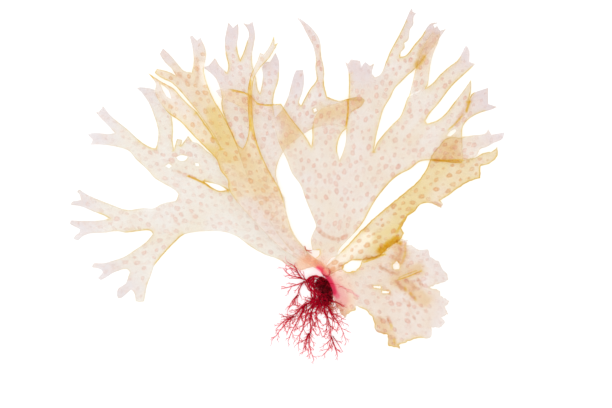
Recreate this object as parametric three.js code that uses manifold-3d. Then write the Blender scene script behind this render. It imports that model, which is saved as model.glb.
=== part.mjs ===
import * as THREE from 'three';
import Module from 'manifold-3d';
import { mergeVertices } from 'three/addons/utils/BufferGeometryUtils.js';

// Spotted scarf weed: thin forked fronds that fan out from one short stipe, with a
// tuft of fine crimson threads at its foot. The plant lies flat, as it was picked.
// Millimetres. The origin is under the stipe, on the surface, +Y runs up the fan.

// Driving sizes
const FAN_WIDTH = 173.6; // from the tip furthest left to the tip furthest right
const BLADE = 0.6; // thickness of a frond
const AIR = 0.5; // clear height between fronds that lie on each other
const RIPPLE = 0.9; // height of the low swells in a frond
const STIPE_RADIUS = 2.0;
const STIPE_HEIGHT = 5.0;
const STIPE_CLEARANCE = 0.5; // between the stipe and the root of a frond
const THREAD_RADIUS = 0.5; // at the root of a main thread
const THREAD_TIP = 0.24; // radius at the end of every thread
const KNOT_SIZE = [3.3, 5.1, 2.4]; // half width, half length and half height of the tuft's knot
const KNOT_LIFT = 1.5; // height of the knot's middle

// Outlines are drawn on a fine square grid, x to the right and y down
const FAN_STEPS = 434;
const STEP = FAN_WIDTH / FAN_STEPS;
const FOOT = [326, 272]; // the stipe
const KNOT = [324.5, 292.5]; // the middle of the tuft

const onPlan = ([x, y]) => [(x - FOOT[0]) * STEP, (FOOT[1] - y) * STEP];

// The pale left frond: lower edge, low lobes, left lobes, upper lobes, torn lobe, upper edge
const LEFT_FROND = {
  edge: [
    [321, 275], [315, 269], [302, 270], [290, 266], [278, 259], [264, 254], [250, 246],
    [238, 237], [225, 232], [210, 231], [195, 232], [183, 235], [175, 242], [168, 249],
    [161, 257], [154, 266], [151, 275], [147, 285], [145, 296], [144, 301], [141, 302],
    [136, 301], [134, 292], [131, 289.5], [125, 295], [121, 298], [118, 298], [117, 294],
    [118, 289], [126, 283], [128, 278], [130, 272], [127, 269], [120, 270], [112, 273.5],
    [105, 278], [101, 280], [98, 278], [103, 273], [102, 270], [92, 267], [94, 263],
    [105, 263], [112, 261], [124, 257], [135, 250], [145, 243], [150, 238], [153, 234],
    [151, 231], [138, 231], [125, 232.5], [118, 231], [106, 232.5], [90, 233.5],
    [83, 236], [78, 240], [74, 239], [75, 236], [80, 232], [80, 229], [70, 224],
    [71, 220.5], [90, 221], [100, 220.5], [110, 218.5], [102, 214.5], [95, 212],
    [80, 206], [71, 205], [72, 202], [76, 201], [81, 200], [80, 195], [77, 192],
    [79, 189.5], [88, 195], [99, 200], [112, 205], [127, 210], [145, 208], [153, 208.5],
    [163, 203.5], [170, 202], [176, 200.5], [178.5, 194], [176, 191], [165, 184],
    [155, 178], [147, 169], [137, 160], [129, 151], [118, 147], [100, 144.5],
    [91, 144.5], [93, 140], [88, 134.5], [93, 133], [110, 134], [115, 133], [106, 123],
    [100, 117], [96, 112.5], [100, 111], [103, 106], [110, 115], [118, 122], [128, 130],
    [140, 141], [152, 148], [156, 148.5], [158, 140], [158.5, 132], [155, 118],
    [149, 103], [142, 93], [137, 88], [141, 87.5], [156, 90.5], [167, 100], [171, 114],
    [173, 130], [172.5, 140], [174, 150], [177, 139], [182, 140], [181, 146], [188, 136],
    [193, 142], [197, 143], [208, 152], [222, 161], [240, 172], [262, 184], [283, 195],
    [286, 211], [288, 225], [294, 236], [302, 245], [310, 255], [316, 261], [321, 266],
  ],
  holes: [
    [[204, 181.5], [212, 187.5], [220, 191], [227, 190], [223, 187], [214, 183.5]],
    [[176, 157], [182, 155], [188, 156.5], [186, 160], [179, 160.5]],
    [[165, 166], [169, 163.5], [172, 166], [169, 168.5]],
    [[195, 163], [199, 163.5], [199, 166.5], [195.5, 166]],
  ],
};

// The right frond: upper edge, forked end under its neighbour, frayed lower edge
const RIGHT_FROND = {
  edge: [
    [328, 265.5], [333.5, 259.5], [340, 252.5], [348, 245], [356, 236], [370, 222], [386, 208], [403, 194],
    [419, 180], [427, 168], [432, 155], [440, 145], [447, 138], [462, 138], [463, 158],
    [470, 159], [476, 157], [484, 153], [493, 151], [497, 147], [497, 156], [490, 163],
    [480, 166], [480, 178], [470, 181], [458, 188], [447, 196], [440, 200], [443, 204],
    [441, 208], [430, 203], [419, 205], [415, 211], [408, 216], [401, 228], [404, 233],
    [400, 240], [394, 244], [386, 250], [381, 255], [366, 260], [350, 261], [343, 264],
    [337, 267], [331, 271],
  ],
  holes: [],
};

// The ragged low right frond, with its torn edge, toothed lobes and holes
const LOW_RIGHT_FROND = {
  edge: [
    [335.5, 292], [334.5, 284], [332, 278], [334, 273.5], [339, 270], [343, 269.5],
    [347, 271.5], [352, 271.5], [357, 269], [361, 264.5], [363, 259], [372, 257],
    [383, 252.5], [391, 246], [398, 239.5], [408, 240], [406, 245], [412, 245], [416, 249], [428, 249], [431, 257], [439, 262], [441, 268], [447, 274], [448, 280],
    [438, 284], [428, 287.5], [440, 291], [440, 296], [450, 301], [444, 306.5],
    [448, 314], [441, 317], [445, 322], [440, 327], [431, 327], [432, 333], [430, 338],
    [418, 338], [406, 342], [398, 345], [403, 351], [397, 347.5], [388, 346], [388, 335],
    [376, 330.5], [374, 322], [369, 313], [364, 309], [356, 306.5], [355, 310],
    [350, 312], [345, 318], [341, 313], [338, 306], [336.5, 299],
  ],
  holes: [
    [[392, 265], [396, 261], [400, 263], [399, 269], [394, 270]],
    [[373, 285.5], [380, 286], [380, 288.5], [374, 288]],
    [[382, 290], [390, 290.5], [389, 293], [382, 292.5]],
  ],
};

// The frond at the back: three fingers, two forked lobes and one long curved horn
const BACK_FROND = {
  edge: [
    [319, 274], [308, 265], [294, 253], [280, 237], [268, 219], [258, 201], [250, 182],
    [243, 165], [238, 150], [232, 135], [226, 121], [221.5, 105], [222, 97], [219, 85],
    [214, 76], [203, 67], [208, 66], [215, 58], [219, 65], [227, 73], [228.5, 67],
    [226, 55], [225, 40], [226.5, 31], [228.5, 22.5], [233, 28], [238, 24], [238.5, 32],
    [237, 45], [238, 53], [240, 60], [243, 54], [247, 42], [249, 36], [248, 30],
    [243, 23], [248, 24.5], [252.5, 22], [255, 35], [254, 43], [252, 54], [252.5, 66],
    [256, 78], [257.5, 88], [260, 94], [262, 85], [263, 75], [262, 66], [264, 62],
    [270, 62], [275.5, 53], [279, 62], [279, 72], [278, 82], [274, 94], [273, 105],
    [275, 118], [282, 110], [288, 97], [292, 82], [294, 75], [296, 70.5], [303, 70],
    [304, 80], [302, 93], [299, 103], [301, 106], [304, 100], [310, 89], [316.5, 80],
    [315.5, 68], [316, 60], [313, 46], [307, 34], [301, 23], [296, 17], [303, 21],
    [313, 30], [319.5, 40], [321, 55], [324, 70], [324, 84], [327, 97], [340, 101],
    [349, 98.5], [361, 97.5], [365, 100.5], [361, 106.5], [353, 111], [349.5, 116],
    [347, 123], [343.5, 127.5], [335, 125], [322, 126], [312, 129], [302, 135], [293, 142],
    [286, 148], [279, 160], [276, 174], [278, 183], [283, 198], [287, 216], [292, 232],
    [301, 246], [312, 258], [322, 265],
  ],
  holes: [[[313, 109], [316, 108], [317, 111], [314, 112.5]]],
};

// The middle frond: leaflet, lobe that leans left, four forked lobes, lower right edge
const MIDDLE_FROND = {
  edge: [
    [321, 272], [315.5, 268], [312, 263], [316, 258], [319.5, 254], [319.5, 250],
    [312.5, 250], [311, 240], [313.5, 232],
    [316, 227], [312, 215], [306, 200], [300, 184], [292, 173], [287, 160], [279, 143],
    [275, 130], [270, 118], [262, 113], [252, 115], [245, 110], [235, 104], [220, 97],
    [216, 91], [222, 89], [240, 91], [250, 95], [258, 103], [273, 104.5], [281, 104],
    [290, 117], [297, 126], [305, 136], [311.5, 147], [312.5, 138], [312.5, 127],
    [316, 115], [325, 107], [335, 104], [343, 101.5], [348.5, 99], [349, 80],
    [348, 70], [345, 62], [348, 64], [351, 59.5], [360, 61], [361, 67.5], [365, 62],
    [370, 66], [374, 63.5], [372, 74], [375, 77.5], [380, 75], [386, 62], [390, 52],
    [397, 39], [405, 23], [412, 8], [416, 13.5], [413, 25], [408, 40], [400, 57],
    [405, 56], [415, 44], [422, 36], [429, 24], [438, 22.5], [434, 28], [440, 30],
    [446, 29], [440, 37], [434, 46], [425, 57], [416, 68], [408, 75], [400, 83],
    [395, 88], [390, 98], [384, 108], [379, 124], [376, 137], [373.5, 152], [377, 143],
    [383, 135], [393, 124], [400, 117], [404, 108], [409, 96], [426, 88], [433, 83],
    [440, 75], [449, 67], [458, 60], [462, 53], [465, 46.5], [467, 46.5], [469, 51],
    [469, 62], [475, 64], [470, 69], [459, 79], [451, 87], [444, 96], [438, 104],
    [430, 113], [425, 121], [427, 124], [438, 120], [447, 112], [453, 104], [461, 94],
    [471, 80], [471, 90], [468, 102.5], [472, 94], [480, 90.5], [488, 88], [488, 104],
    [497, 107], [490, 110], [482, 112], [470, 118], [463, 126], [461.5, 137],
    [473, 135.5], [486, 133], [488, 129], [491, 135], [504, 132.5], [502, 139],
    [494, 142.5], [486, 147], [480, 149], [476, 156], [470, 159], [456, 163], [440, 161],
    [420, 161.5], [410, 169], [400, 174], [392, 180], [383, 190], [376, 199], [370, 209],
    [363, 222], [356, 231], [345, 242.5], [337.5, 250.5], [331.5, 257.5], [327, 263.5],
  ],
  holes: [
    [[346.5, 129], [342.5, 132], [338.5, 140], [337, 150], [339.5, 160.5], [342.3, 154], [345.5, 143]],
    [[446.5, 136], [450, 131.5], [455, 129], [456.5, 131], [453, 134.5], [450, 136.5]],
  ],
};

// A finger of the middle frond that crosses over its neighbour, from the fork that it grows at
const CROSSING_FINGER = {
  edge: [
    [409, 96], [411, 88], [413, 80], [418, 60], [422, 50], [427, 40], [432, 33],
    [437, 36], [440, 33], [438, 42], [433, 54], [430, 66], [429, 74], [426, 88],
  ],
  holes: [],
};

// The yellow front frond: right edge, right finger, left fingers, slit lobe, lower edge
const FRONT_FROND = {
  edge: [
    [321, 264], [312, 256], [301, 244], [292, 230], [287, 214], [283, 198], [278, 186],
    [272, 176], [263, 158], [256, 138], [254, 128], [252.5, 100], [254, 80], [259, 70],
    [270, 57], [278, 43], [274.5, 45], [274, 36], [270, 46], [264, 55], [260, 53],
    [258, 60], [252, 73], [248, 90], [248.5, 115], [249, 130], [246, 143], [243, 149],
    [239, 146], [231, 130], [222, 113], [213, 98], [206, 80], [204, 70], [206, 55],
    [205, 48], [200.5, 38], [197, 41], [192, 35.5], [190, 37], [192.5, 47], [194, 62],
    [192, 73], [184, 71], [176, 62], [170, 55], [163, 48.5], [160, 54], [164, 61],
    [172, 69], [176, 76], [170, 72.5], [157, 69], [155, 73], [160, 77], [172, 83],
    [182, 93], [192, 105], [196, 110], [190, 106], [182, 98], [174, 89], [160, 81],
    [148, 73], [153, 78.5], [156, 84], [155.5, 91], [157.5, 98], [162, 105], [169, 113.5], [181, 122],
    [192, 134], [200, 142], [208, 150], [217, 160], [221, 171], [228, 180], [229, 189],
    [240, 205], [258, 225], [270, 238], [285, 251], [300, 260], [312, 268], [320, 275],
  ],
  holes: [[[160, 83.5], [165, 87], [169, 91], [171.5, 99], [168, 97.5], [164, 92]]],
};

// The main threads of the tuft, each from inside the knot out to its last fork
const TUFT_THREADS = [
  [[319, 287], [308, 280.5], [300, 278.5], [293, 277], [287, 274], [282, 271]],
  [[301, 279], [296, 274], [291, 269]],
  [[319, 290], [307, 281], [299, 284], [292, 286], [286, 288], [280, 289.5]],
  [[319, 293], [305, 286], [299, 290], [297, 297], [296, 304], [298, 311]],
  [[298, 296], [293, 302], [289, 308], [286, 314]],
  [[320, 297], [312, 300], [305, 304], [300, 311], [295, 317], [289, 322], [283, 328], [272, 341]],
  [[297, 315], [296, 325], [295, 333], [296, 340], [298, 347]],
  [[289, 322], [289, 331], [287, 341]],
  [[320, 299], [309, 306], [304, 313], [303, 320], [301, 326], [303, 332]],
  [[321, 301], [310, 309], [306, 318], [307, 327], [310, 336], [313, 347], [317, 362]],
  [[308, 331], [307, 340], [306, 352]],
  [[320, 302], [315, 312], [316, 320], [319, 327], [323, 331]],
  [[322, 301], [324, 311], [328, 318], [330, 327], [330, 337], [327, 345], [322, 356]],
  [[330, 334], [332, 342], [336, 353]],
  [[323, 300], [331, 313], [335, 320], [338, 327]],
  [[323, 291], [334, 286], [341, 288], [350, 292], [359, 297]],
  [[323, 296], [332, 301], [339, 303], [346, 310]],
];

// Seeded draws, so that every build grows the same plant
function seeded(seed) {
  let state = seed;
  return () => {
    state = (state + 0x6d2b79f5) | 0;
    let mixed = Math.imul(state ^ (state >>> 15), 1 | state);
    mixed = (mixed + Math.imul(mixed ^ (mixed >>> 7), 61 | mixed)) ^ mixed;
    return ((mixed ^ (mixed >>> 14)) >>> 0) / 4294967296;
  };
}

// A raster of heights that covers the surface under the whole plant
const CELL = 0.8;
const RASTER_LEFT = -108;
const RASTER_LOW = -41;
const COLUMNS = 230;
const ROWS = 190;
const cellCentre = (index) => [
  RASTER_LEFT + (index % COLUMNS) * CELL,
  RASTER_LOW + Math.floor(index / COLUMNS) * CELL,
];
const pile = new Float64Array(COLUMNS * ROWS); // top of what already lies at each place

const highest = (values) => Math.max(...values);
const average = (values) => values.reduce((sum, value) => sum + value, 0) / values.length;

// Each cell gathered with its neighbours, first along the rows and then across them
function gathered(field, reach, gather) {
  const sweep = (source, stepX, stepY) => source.map((unused, index) => {
    const column = index % COLUMNS;
    const row = Math.floor(index / COLUMNS);
    const values = [];
    for (let k = -reach; k <= reach; k += 1) {
      const x = THREE.MathUtils.clamp(column + k * stepX, 0, COLUMNS - 1);
      const y = THREE.MathUtils.clamp(row + k * stepY, 0, ROWS - 1);
      values.push(source[y * COLUMNS + x]);
    }
    return gather(values);
  });
  return sweep(sweep(field, 1, 0), 0, 1);
}

function sampled(field, x, y) {
  const column = THREE.MathUtils.clamp((x - RASTER_LEFT) / CELL, 0, COLUMNS - 2);
  const row = THREE.MathUtils.clamp((y - RASTER_LOW) / CELL, 0, ROWS - 2);
  const c = Math.floor(column);
  const r = Math.floor(row);
  const at = (dx, dy) => field[(r + dy) * COLUMNS + c + dx];
  const near = THREE.MathUtils.lerp(at(0, 0), at(1, 0), column - c);
  const far = THREE.MathUtils.lerp(at(0, 1), at(1, 1), column - c);
  return THREE.MathUtils.lerp(near, far, row - r);
}

function inside([x, y], ring) {
  let odd = false;
  ring.forEach(([x1, y1], i) => {
    const [x2, y2] = ring[(i + 1) % ring.length];
    if (y1 > y !== y2 > y && x < x1 + ((x2 - x1) * (y - y1)) / (y2 - y1)) {
      odd = !odd;
    }
  });
  return odd;
}

function distanceToEdge([x, y], ring) {
  let nearest = Infinity;
  ring.forEach(([x1, y1], i) => {
    const [x2, y2] = ring[(i + 1) % ring.length];
    const along = ((x - x1) * (x2 - x1) + (y - y1) * (y2 - y1)) / ((x2 - x1) ** 2 + (y2 - y1) ** 2);
    const t = THREE.MathUtils.clamp(along, 0, 1);
    nearest = Math.min(nearest, Math.hypot(x - x1 - t * (x2 - x1), y - y1 - t * (y2 - y1)));
  });
  return nearest;
}

// Roots of the fronds stop short of the stipe
function clearOfStipe([x, y]) {
  const reach = Math.hypot(x, y);
  const least = STIPE_RADIUS + STIPE_CLEARANCE;
  return reach < least ? [(x * least) / reach, (y * least) / reach] : [x, y];
}

// Low swells, each frond with its own, flat on the surface between them
const SWELL_LENGTH = 8.5;
const swell = (x, y, phase) => RIPPLE
  * Math.max(0, Math.sin(x / SWELL_LENGTH + phase) * Math.cos(y / SWELL_LENGTH - 2 * phase));

// How far a frond keeps up beside what it lies on, and how gently it comes down, in cells
const HOLD_REACH = 7;
const EASE_REACH = 4;

// The height of a frond's underside, draped over everything that lies there already
const EDGE_REACH = 1.2; // how far past its outline a frond still counts as covering a cell
function drape(rings, phase) {
  const cover = Array.from(pile, (unused, index) => {
    const place = cellCentre(index);
    return inside(place, rings[0]) || distanceToEdge(place, rings[0]) < EDGE_REACH;
  });
  const needed = pile.map((top, index) => (cover[index] && top > 0 ? top + AIR : 0));
  const held = gathered(needed, HOLD_REACH, highest);
  const lift = gathered(gathered(held, EASE_REACH, average), HOLD_REACH - EASE_REACH, average);
  const height = (x, y) => sampled(lift, x, y) + swell(x, y, phase);
  cover.forEach((covered, index) => {
    if (covered) {
      pile[index] = Math.max(pile[index], height(...cellCentre(index)) + BLADE);
    }
  });
  return height;
}

const area = ([ax, ay], [bx, by], [cx, cy]) => (bx - ax) * (cy - ay) - (by - ay) * (cx - ax);

// True where the fourth point lies in the circle through the other three
function inCircle(a, b, c, d) {
  const rows = [a, b, c].map(([x, y]) => [x - d[0], y - d[1], (x - d[0]) ** 2 + (y - d[1]) ** 2]);
  const [[ax, ay, aw], [bx, by, bw], [cx, cy, cw]] = rows;
  return ax * (by * cw - bw * cy) - ay * (bx * cw - bw * cx) + aw * (bx * cy - by * cx) > 1e-9;
}

// Turns shared edges of triangles until none of them is needlessly long and thin
function fairTriangles(points, triangles) {
  for (let turned = 1, round = 0; turned > 0 && round < 60; round += 1) {
    turned = 0;
    const owners = new Map();
    const busy = new Set();
    triangles.forEach((triangle, owner) => {
      triangle.forEach((a, k) => {
        owners.set(`${a},${triangle[(k + 1) % 3]}`, { owner, tip: triangle[(k + 2) % 3] });
      });
    });
    owners.forEach(({ owner, tip }, key) => {
      const [a, b] = key.split(',').map(Number);
      const twin = owners.get(`${b},${a}`);
      if (a > b || !twin || busy.has(owner) || busy.has(twin.owner)) {
        return;
      }
      const [pa, pb, pc, pd] = [a, b, tip, twin.tip].map((index) => points[index]);
      const convex = area(pc, pa, pd) > 1e-6 && area(pd, pb, pc) > 1e-6;
      if (convex && inCircle(pa, pb, pc, pd)) {
        triangles[owner] = [tip, a, twin.tip];
        triangles[twin.owner] = [twin.tip, b, tip];
        busy.add(owner).add(twin.owner);
        turned += 1;
      }
    });
  }
}

// Triangles over a flat region, with a loose lattice of points in its broad parts
const LATTICE = 4.6;
const LATTICE_MARGIN = 1.7;
const LATTICE_SHIFT = 0.017; // keeps the lattice's points off the outlines' own edges
function triangulated(rings) {
  const corners = rings.map((ring) => ring.map(([x, y]) => new THREE.Vector2(x, y)));
  const points = rings.flat();
  const triangles = THREE.ShapeUtils.triangulateShape(corners[0], corners.slice(1));
  triangles.forEach((triangle) => {
    if (area(...triangle.map((index) => points[index])) < 0) {
      triangle.reverse();
    }
  });
  for (let row = Math.ceil(RASTER_LOW / LATTICE); row * LATTICE < ROWS * CELL; row += 1) {
    for (let column = Math.ceil(RASTER_LEFT / LATTICE); column * LATTICE < -RASTER_LEFT; column += 1) {
      const across = column + (row % 2) / 2 + LATTICE_SHIFT;
      const place = [across * LATTICE, (row + LATTICE_SHIFT) * LATTICE];
      const home = triangles.findIndex((triangle) => {
        const [a, b, c] = triangle.map((index) => points[index]);
        return area(a, b, place) > 0 && area(b, c, place) > 0 && area(c, a, place) > 0;
      });
      if (home >= 0 && rings.every((ring) => distanceToEdge(place, ring) > LATTICE_MARGIN)) {
        const [a, b, c] = triangles[home];
        const added = points.push(place) - 1;
        triangles[home] = [a, b, added];
        triangles.push([b, c, added], [c, a, added]);
      }
    }
  }
  fairTriangles(points, triangles);
  return { points, triangles };
}

// One closed thin blade over one or more regions that share an edge
function frondGeometry(regions, phase) {
  const vertices = [];
  const numbers = new Map();
  const top = [];
  regions.forEach((region) => {
    const rings = [region.edge, ...region.holes].map((ring) => ring.map(onPlan).map(clearOfStipe));
    const height = drape(rings, phase);
    const { points, triangles } = triangulated(rings);
    const own = points.map(([x, y], index) => {
      const shared = index < rings[0].length ? `${x},${y}` : `inner ${x},${y} ${vertices.length}`;
      if (!numbers.has(shared)) {
        numbers.set(shared, vertices.push([x, y, height(x, y)]) - 1);
      }
      return numbers.get(shared);
    });
    triangles.forEach((triangle) => top.push(triangle.map((index) => own[index])));
  });
  const count = vertices.length;
  const raised = vertices.map(([x, y, z]) => [x, y, z + BLADE]);
  const sides = new Set(top.flatMap(([a, b, c]) => [`${a},${b}`, `${b},${c}`, `${c},${a}`]));
  const faces = top.map(([a, b, c]) => [a + count, b + count, c + count]);
  top.forEach(([a, b, c]) => faces.push([c, b, a]));
  sides.forEach((side) => {
    const [a, b] = side.split(',').map(Number);
    if (!sides.has(`${b},${a}`)) {
      faces.push([a, b, b + count], [a, b + count, a + count]);
    }
  });
  return indexed([...vertices, ...raised], faces);
}

function indexed(vertices, faces) {
  const geometry = new THREE.BufferGeometry();
  geometry.setAttribute('position', new THREE.Float32BufferAttribute(vertices.flat(), 3));
  geometry.setIndex(faces.flat());
  geometry.computeVertexNormals();
  return geometry;
}

// A short round stipe with a flat foot, a slight waist and a domed head
const STIPE_SIDES = 14;
function stipeGeometry() {
  const profile = [
    [0, 0], [1, 0], [0.93, 0.18], [0.84, 0.45], [0.86, 0.7], [0.7, 0.88], [0.4, 0.97], [0, 1],
  ].map(([across, up]) => new THREE.Vector2(across * STIPE_RADIUS, up * STIPE_HEIGHT));
  return new THREE.LatheGeometry(profile, STIPE_SIDES).rotateX(Math.PI / 2);
}

// A closed three-sided thread that thins towards its end
function threadGeometry(path, startRadius, endRadius) {
  const sides = 3;
  const vertices = [];
  const faces = [];
  path.forEach((point, ring) => {
    const before = path[Math.max(ring - 1, 0)];
    const after = path[Math.min(ring + 1, path.length - 1)];
    const across = new THREE.Vector3(before.y - after.y, after.x - before.x, 0).normalize();
    const radius = THREE.MathUtils.lerp(startRadius, endRadius, ring / (path.length - 1));
    for (let side = 0; side < sides; side += 1) {
      const turn = Math.PI * (0.5 + (2 * side) / sides);
      const place = point.clone().addScaledVector(across, radius * Math.cos(turn));
      vertices.push([place.x, place.y, Math.max(0, place.z + radius * Math.sin(turn))]);
    }
  });
  for (let ring = 0; ring < path.length - 1; ring += 1) {
    for (let side = 0; side < sides; side += 1) {
      const [a, b] = [side, (side + 1) % sides].map((k) => ring * sides + k);
      faces.push([a, b, b + sides], [a, b + sides, a + sides]);
    }
  }
  const last = vertices.length;
  faces.push([2, 1, 0], [last - 3, last - 2, last - 1]);
  return indexed(vertices, faces);
}

const wasm = await Module();
wasm.setup();

function solidOf(geometry) {
  const bare = geometry.clone();
  bare.deleteAttribute('normal');
  bare.deleteAttribute('uv');
  const merged = mergeVertices(bare, 1e-4);
  return new wasm.Manifold(new wasm.Mesh({
    numProp: 3,
    vertProperties: new Float32Array(merged.attributes.position.array),
    triVerts: new Uint32Array(merged.index.array),
  }));
}

function geometryOf(solid) {
  const { vertProperties, triVerts } = solid.getMesh();
  const geometry = new THREE.BufferGeometry();
  geometry.setAttribute('position', new THREE.BufferAttribute(vertProperties, 3));
  geometry.setIndex(new THREE.BufferAttribute(triVerts, 1));
  geometry.computeVertexNormals();
  return geometry;
}

// The knot is a low lumpy heap with a flat foot
const KNOT_LUMPS = 0.12;
function knotGeometry() {
  const knot = new THREE.IcosahedronGeometry(1, 3);
  const place = knot.attributes.position;
  const [middleX, middleY] = onPlan(KNOT);
  for (let i = 0; i < place.count; i += 1) {
    const [x, y, z] = [place.getX(i), place.getY(i), place.getZ(i)];
    const lump = 1 + KNOT_LUMPS * Math.sin(7 * x + 2 * z) * Math.cos(6 * y - z);
    const up = Math.max(0, KNOT_LIFT + z * lump * KNOT_SIZE[2]);
    place.setXYZ(i, middleX + x * lump * KNOT_SIZE[0], middleY + y * lump * KNOT_SIZE[1], up);
  }
  return knot;
}

// Side threads leave their axis by turns to the left and to the right, and fork once more
const TWIG_SPACING = 3.4;
const TWIG_LENGTH = 3.6;
const TWIG_TURN = 0.75; // angle away from the axis, in radians
const FIRST_TWIG = 0.25; // share of the axis that stays bare at its root
const LAST_TWIG = 0.95;
function twigs(axis, radius, random) {
  const grown = [];
  const curve = new THREE.CatmullRomCurve3(axis);
  const length = curve.getLength();
  const count = Math.max(1, Math.floor(length / TWIG_SPACING) - 1);
  for (let i = 1; i <= count; i += 1) {
    const along = THREE.MathUtils.lerp(FIRST_TWIG, LAST_TWIG, i / count);
    const start = curve.getPointAt(along);
    const tangent = curve.getTangentAt(along);
    const hand = i % 2 === 0 ? 1 : -1;
    const heading = Math.atan2(tangent.y, tangent.x) + hand * TWIG_TURN * (0.8 + 0.4 * random());
    const reach = TWIG_LENGTH * (0.7 + 0.6 * random());
    const step = (share, turn) => new THREE.Vector3(
      start.x + share * reach * Math.cos(heading + turn),
      start.y + share * reach * Math.sin(heading + turn),
      start.z,
    );
    grown.push([[start, step(0.55, 0), step(1, -0.25 * hand)], radius * 0.7]);
    grown.push([[step(0.5, 0), step(0.95, 0.55 * hand)], radius * 0.55]);
  }
  return grown;
}

function tuftGeometry() {
  const random = seeded(41);
  const open = gathered(gathered(pile, 2, highest), 1, average);
  const laid = ([x, y]) => {
    const [px, py] = onPlan([x, y]);
    const under = sampled(open, px, py);
    return new THREE.Vector3(px, py, under > 0 ? under + AIR + THREAD_RADIUS : THREAD_RADIUS / 2);
  };
  let tuft = solidOf(knotGeometry());
  TUFT_THREADS.forEach((drawn) => {
    const axis = drawn.map(laid);
    tuft = tuft.add(solidOf(threadGeometry(axis, THREAD_RADIUS, THREAD_TIP)));
    twigs(axis, THREAD_RADIUS, random).forEach(([path, radius]) => {
      tuft = tuft.add(solidOf(threadGeometry(path, radius, THREAD_TIP)));
    });
  });
  return geometryOf(tuft);
}

const membrane = (colour) => new THREE.MeshStandardMaterial({
  color: colour, roughness: 0.45, metalness: 0,
});

function named(name, geometry, material) {
  const mesh = new THREE.Mesh(geometry, material);
  mesh.name = name;
  return mesh;
}

// Fronds are laid from the lowest to the topmost, each draped over those before it
const group = new THREE.Group();
group.add(
  named('frond_left', frondGeometry([LEFT_FROND], 0.4), membrane(0xf0dfd2)),
  named('frond_right', frondGeometry([RIGHT_FROND], 1.3), membrane(0xf0dcae)),
  named('frond_low_right', frondGeometry([LOW_RIGHT_FROND], 2.1), membrane(0xefd9c2)),
  named('frond_back', frondGeometry([BACK_FROND], 2.9), membrane(0xf1dfc6)),
  named('frond_middle', frondGeometry([MIDDLE_FROND, CROSSING_FINGER], 3.8), membrane(0xf2e0cf)),
  named('frond_front', frondGeometry([FRONT_FROND], 4.7), membrane(0xecd08c)),
  named('stipe', stipeGeometry(), membrane(0xb3203f)),
  named('red_tuft', tuftGeometry(), membrane(0x8c1030)),
);

export default group;
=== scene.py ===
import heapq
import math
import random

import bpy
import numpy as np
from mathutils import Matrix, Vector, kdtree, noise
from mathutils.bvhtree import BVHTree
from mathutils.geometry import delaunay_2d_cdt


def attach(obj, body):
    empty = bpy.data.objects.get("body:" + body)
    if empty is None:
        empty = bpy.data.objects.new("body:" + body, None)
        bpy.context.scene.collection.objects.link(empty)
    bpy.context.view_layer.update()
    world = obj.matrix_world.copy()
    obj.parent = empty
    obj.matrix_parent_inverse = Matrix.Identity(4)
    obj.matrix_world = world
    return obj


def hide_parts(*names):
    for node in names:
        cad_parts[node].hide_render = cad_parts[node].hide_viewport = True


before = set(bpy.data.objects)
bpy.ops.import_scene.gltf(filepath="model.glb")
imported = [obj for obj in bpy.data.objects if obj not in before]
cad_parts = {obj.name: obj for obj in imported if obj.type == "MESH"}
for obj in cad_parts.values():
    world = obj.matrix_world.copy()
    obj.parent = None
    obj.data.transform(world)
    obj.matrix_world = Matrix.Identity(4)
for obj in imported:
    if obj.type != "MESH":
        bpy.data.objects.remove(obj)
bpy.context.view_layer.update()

# %% [markdown]
# # Spotted scarf weed
# A thin, leafy red seaweed that was picked and laid flat. Its fronds are membranes a tenth of a
# millimetre thick that fork again and again into notched tips. They all grow from one short
# crimson stipe, which stands in a tuft of fine crimson threads. Light shines through every
# layer, so where two fronds cross, the colour deepens. The frame gives each frond's place and
# the height at which it lies on its neighbours; this script gives the fronds their thinness,
# their margins, spots, stains and colours.

MM = 0.001  # lengths below are in millimetres until a mesh is made

# %% [markdown]
# ## Camera, floor and light
# The specimen is seen from straight above, and its far and near parts show at one scale, so a
# long lens looks down from more than a metre. The floor is plain pale paper. One large soft
# light and an even pale sky light it from all sides, because a membrane that lies on bright
# paper looks as if it were lit from behind: the paper sends the light back up through it.
# The plain Standard view keeps the paper white and the pale tints clear.

# %% The drawing grid that the plant is laid out on
STEP = 0.4  # mm, one step of the grid
FOOT = (326, 272)  # the grid place of the stipe, which is the frame's origin
FRAME_STEPS = (612, 408)


def on_plan(points):
    """Grid places to millimetres in the frame, as an array of x and y."""
    grid = np.array(points, float)
    return np.stack([(grid[:, 0] - FOOT[0]) * STEP, (FOOT[1] - grid[:, 1]) * STEP], axis=1)


# %% Camera
CAMERA_HEIGHT = 1200.0
SENSOR = 36.0
view_width = FRAME_STEPS[0] * STEP
view_middle = on_plan([(FRAME_STEPS[0] / 2, FRAME_STEPS[1] / 2)])[0]
lens_data = bpy.data.cameras.new("overhead_camera")
lens_data.sensor_width = SENSOR
lens_data.lens = SENSOR * CAMERA_HEIGHT / view_width
lens_data.clip_end = 20.0
camera = bpy.data.objects.new("overhead_camera", lens_data)
camera.location = Vector((view_middle[0], view_middle[1], CAMERA_HEIGHT)) * MM
bpy.context.scene.collection.objects.link(camera)
bpy.context.scene.camera = camera
print("view in mm:", round(view_width, 1), "lens:", round(lens_data.lens, 1))

# %% Light and view
LAMP_PLACE = Vector((-0.3, 0.3, 1.7))  # metres, and it faces the origin
sky = bpy.data.worlds.new("even_sky")
sky.use_nodes = True
sky.node_tree.nodes["Background"].inputs["Color"].default_value = (1.0, 1.0, 1.0, 1.0)
sky.node_tree.nodes["Background"].inputs["Strength"].default_value = 1.0
bpy.context.scene.world = sky
bpy.context.scene.view_settings.view_transform = "Standard"
bpy.context.scene.cycles.transparent_max_bounces = 64  # light crosses two faces a layer, and spots

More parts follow.
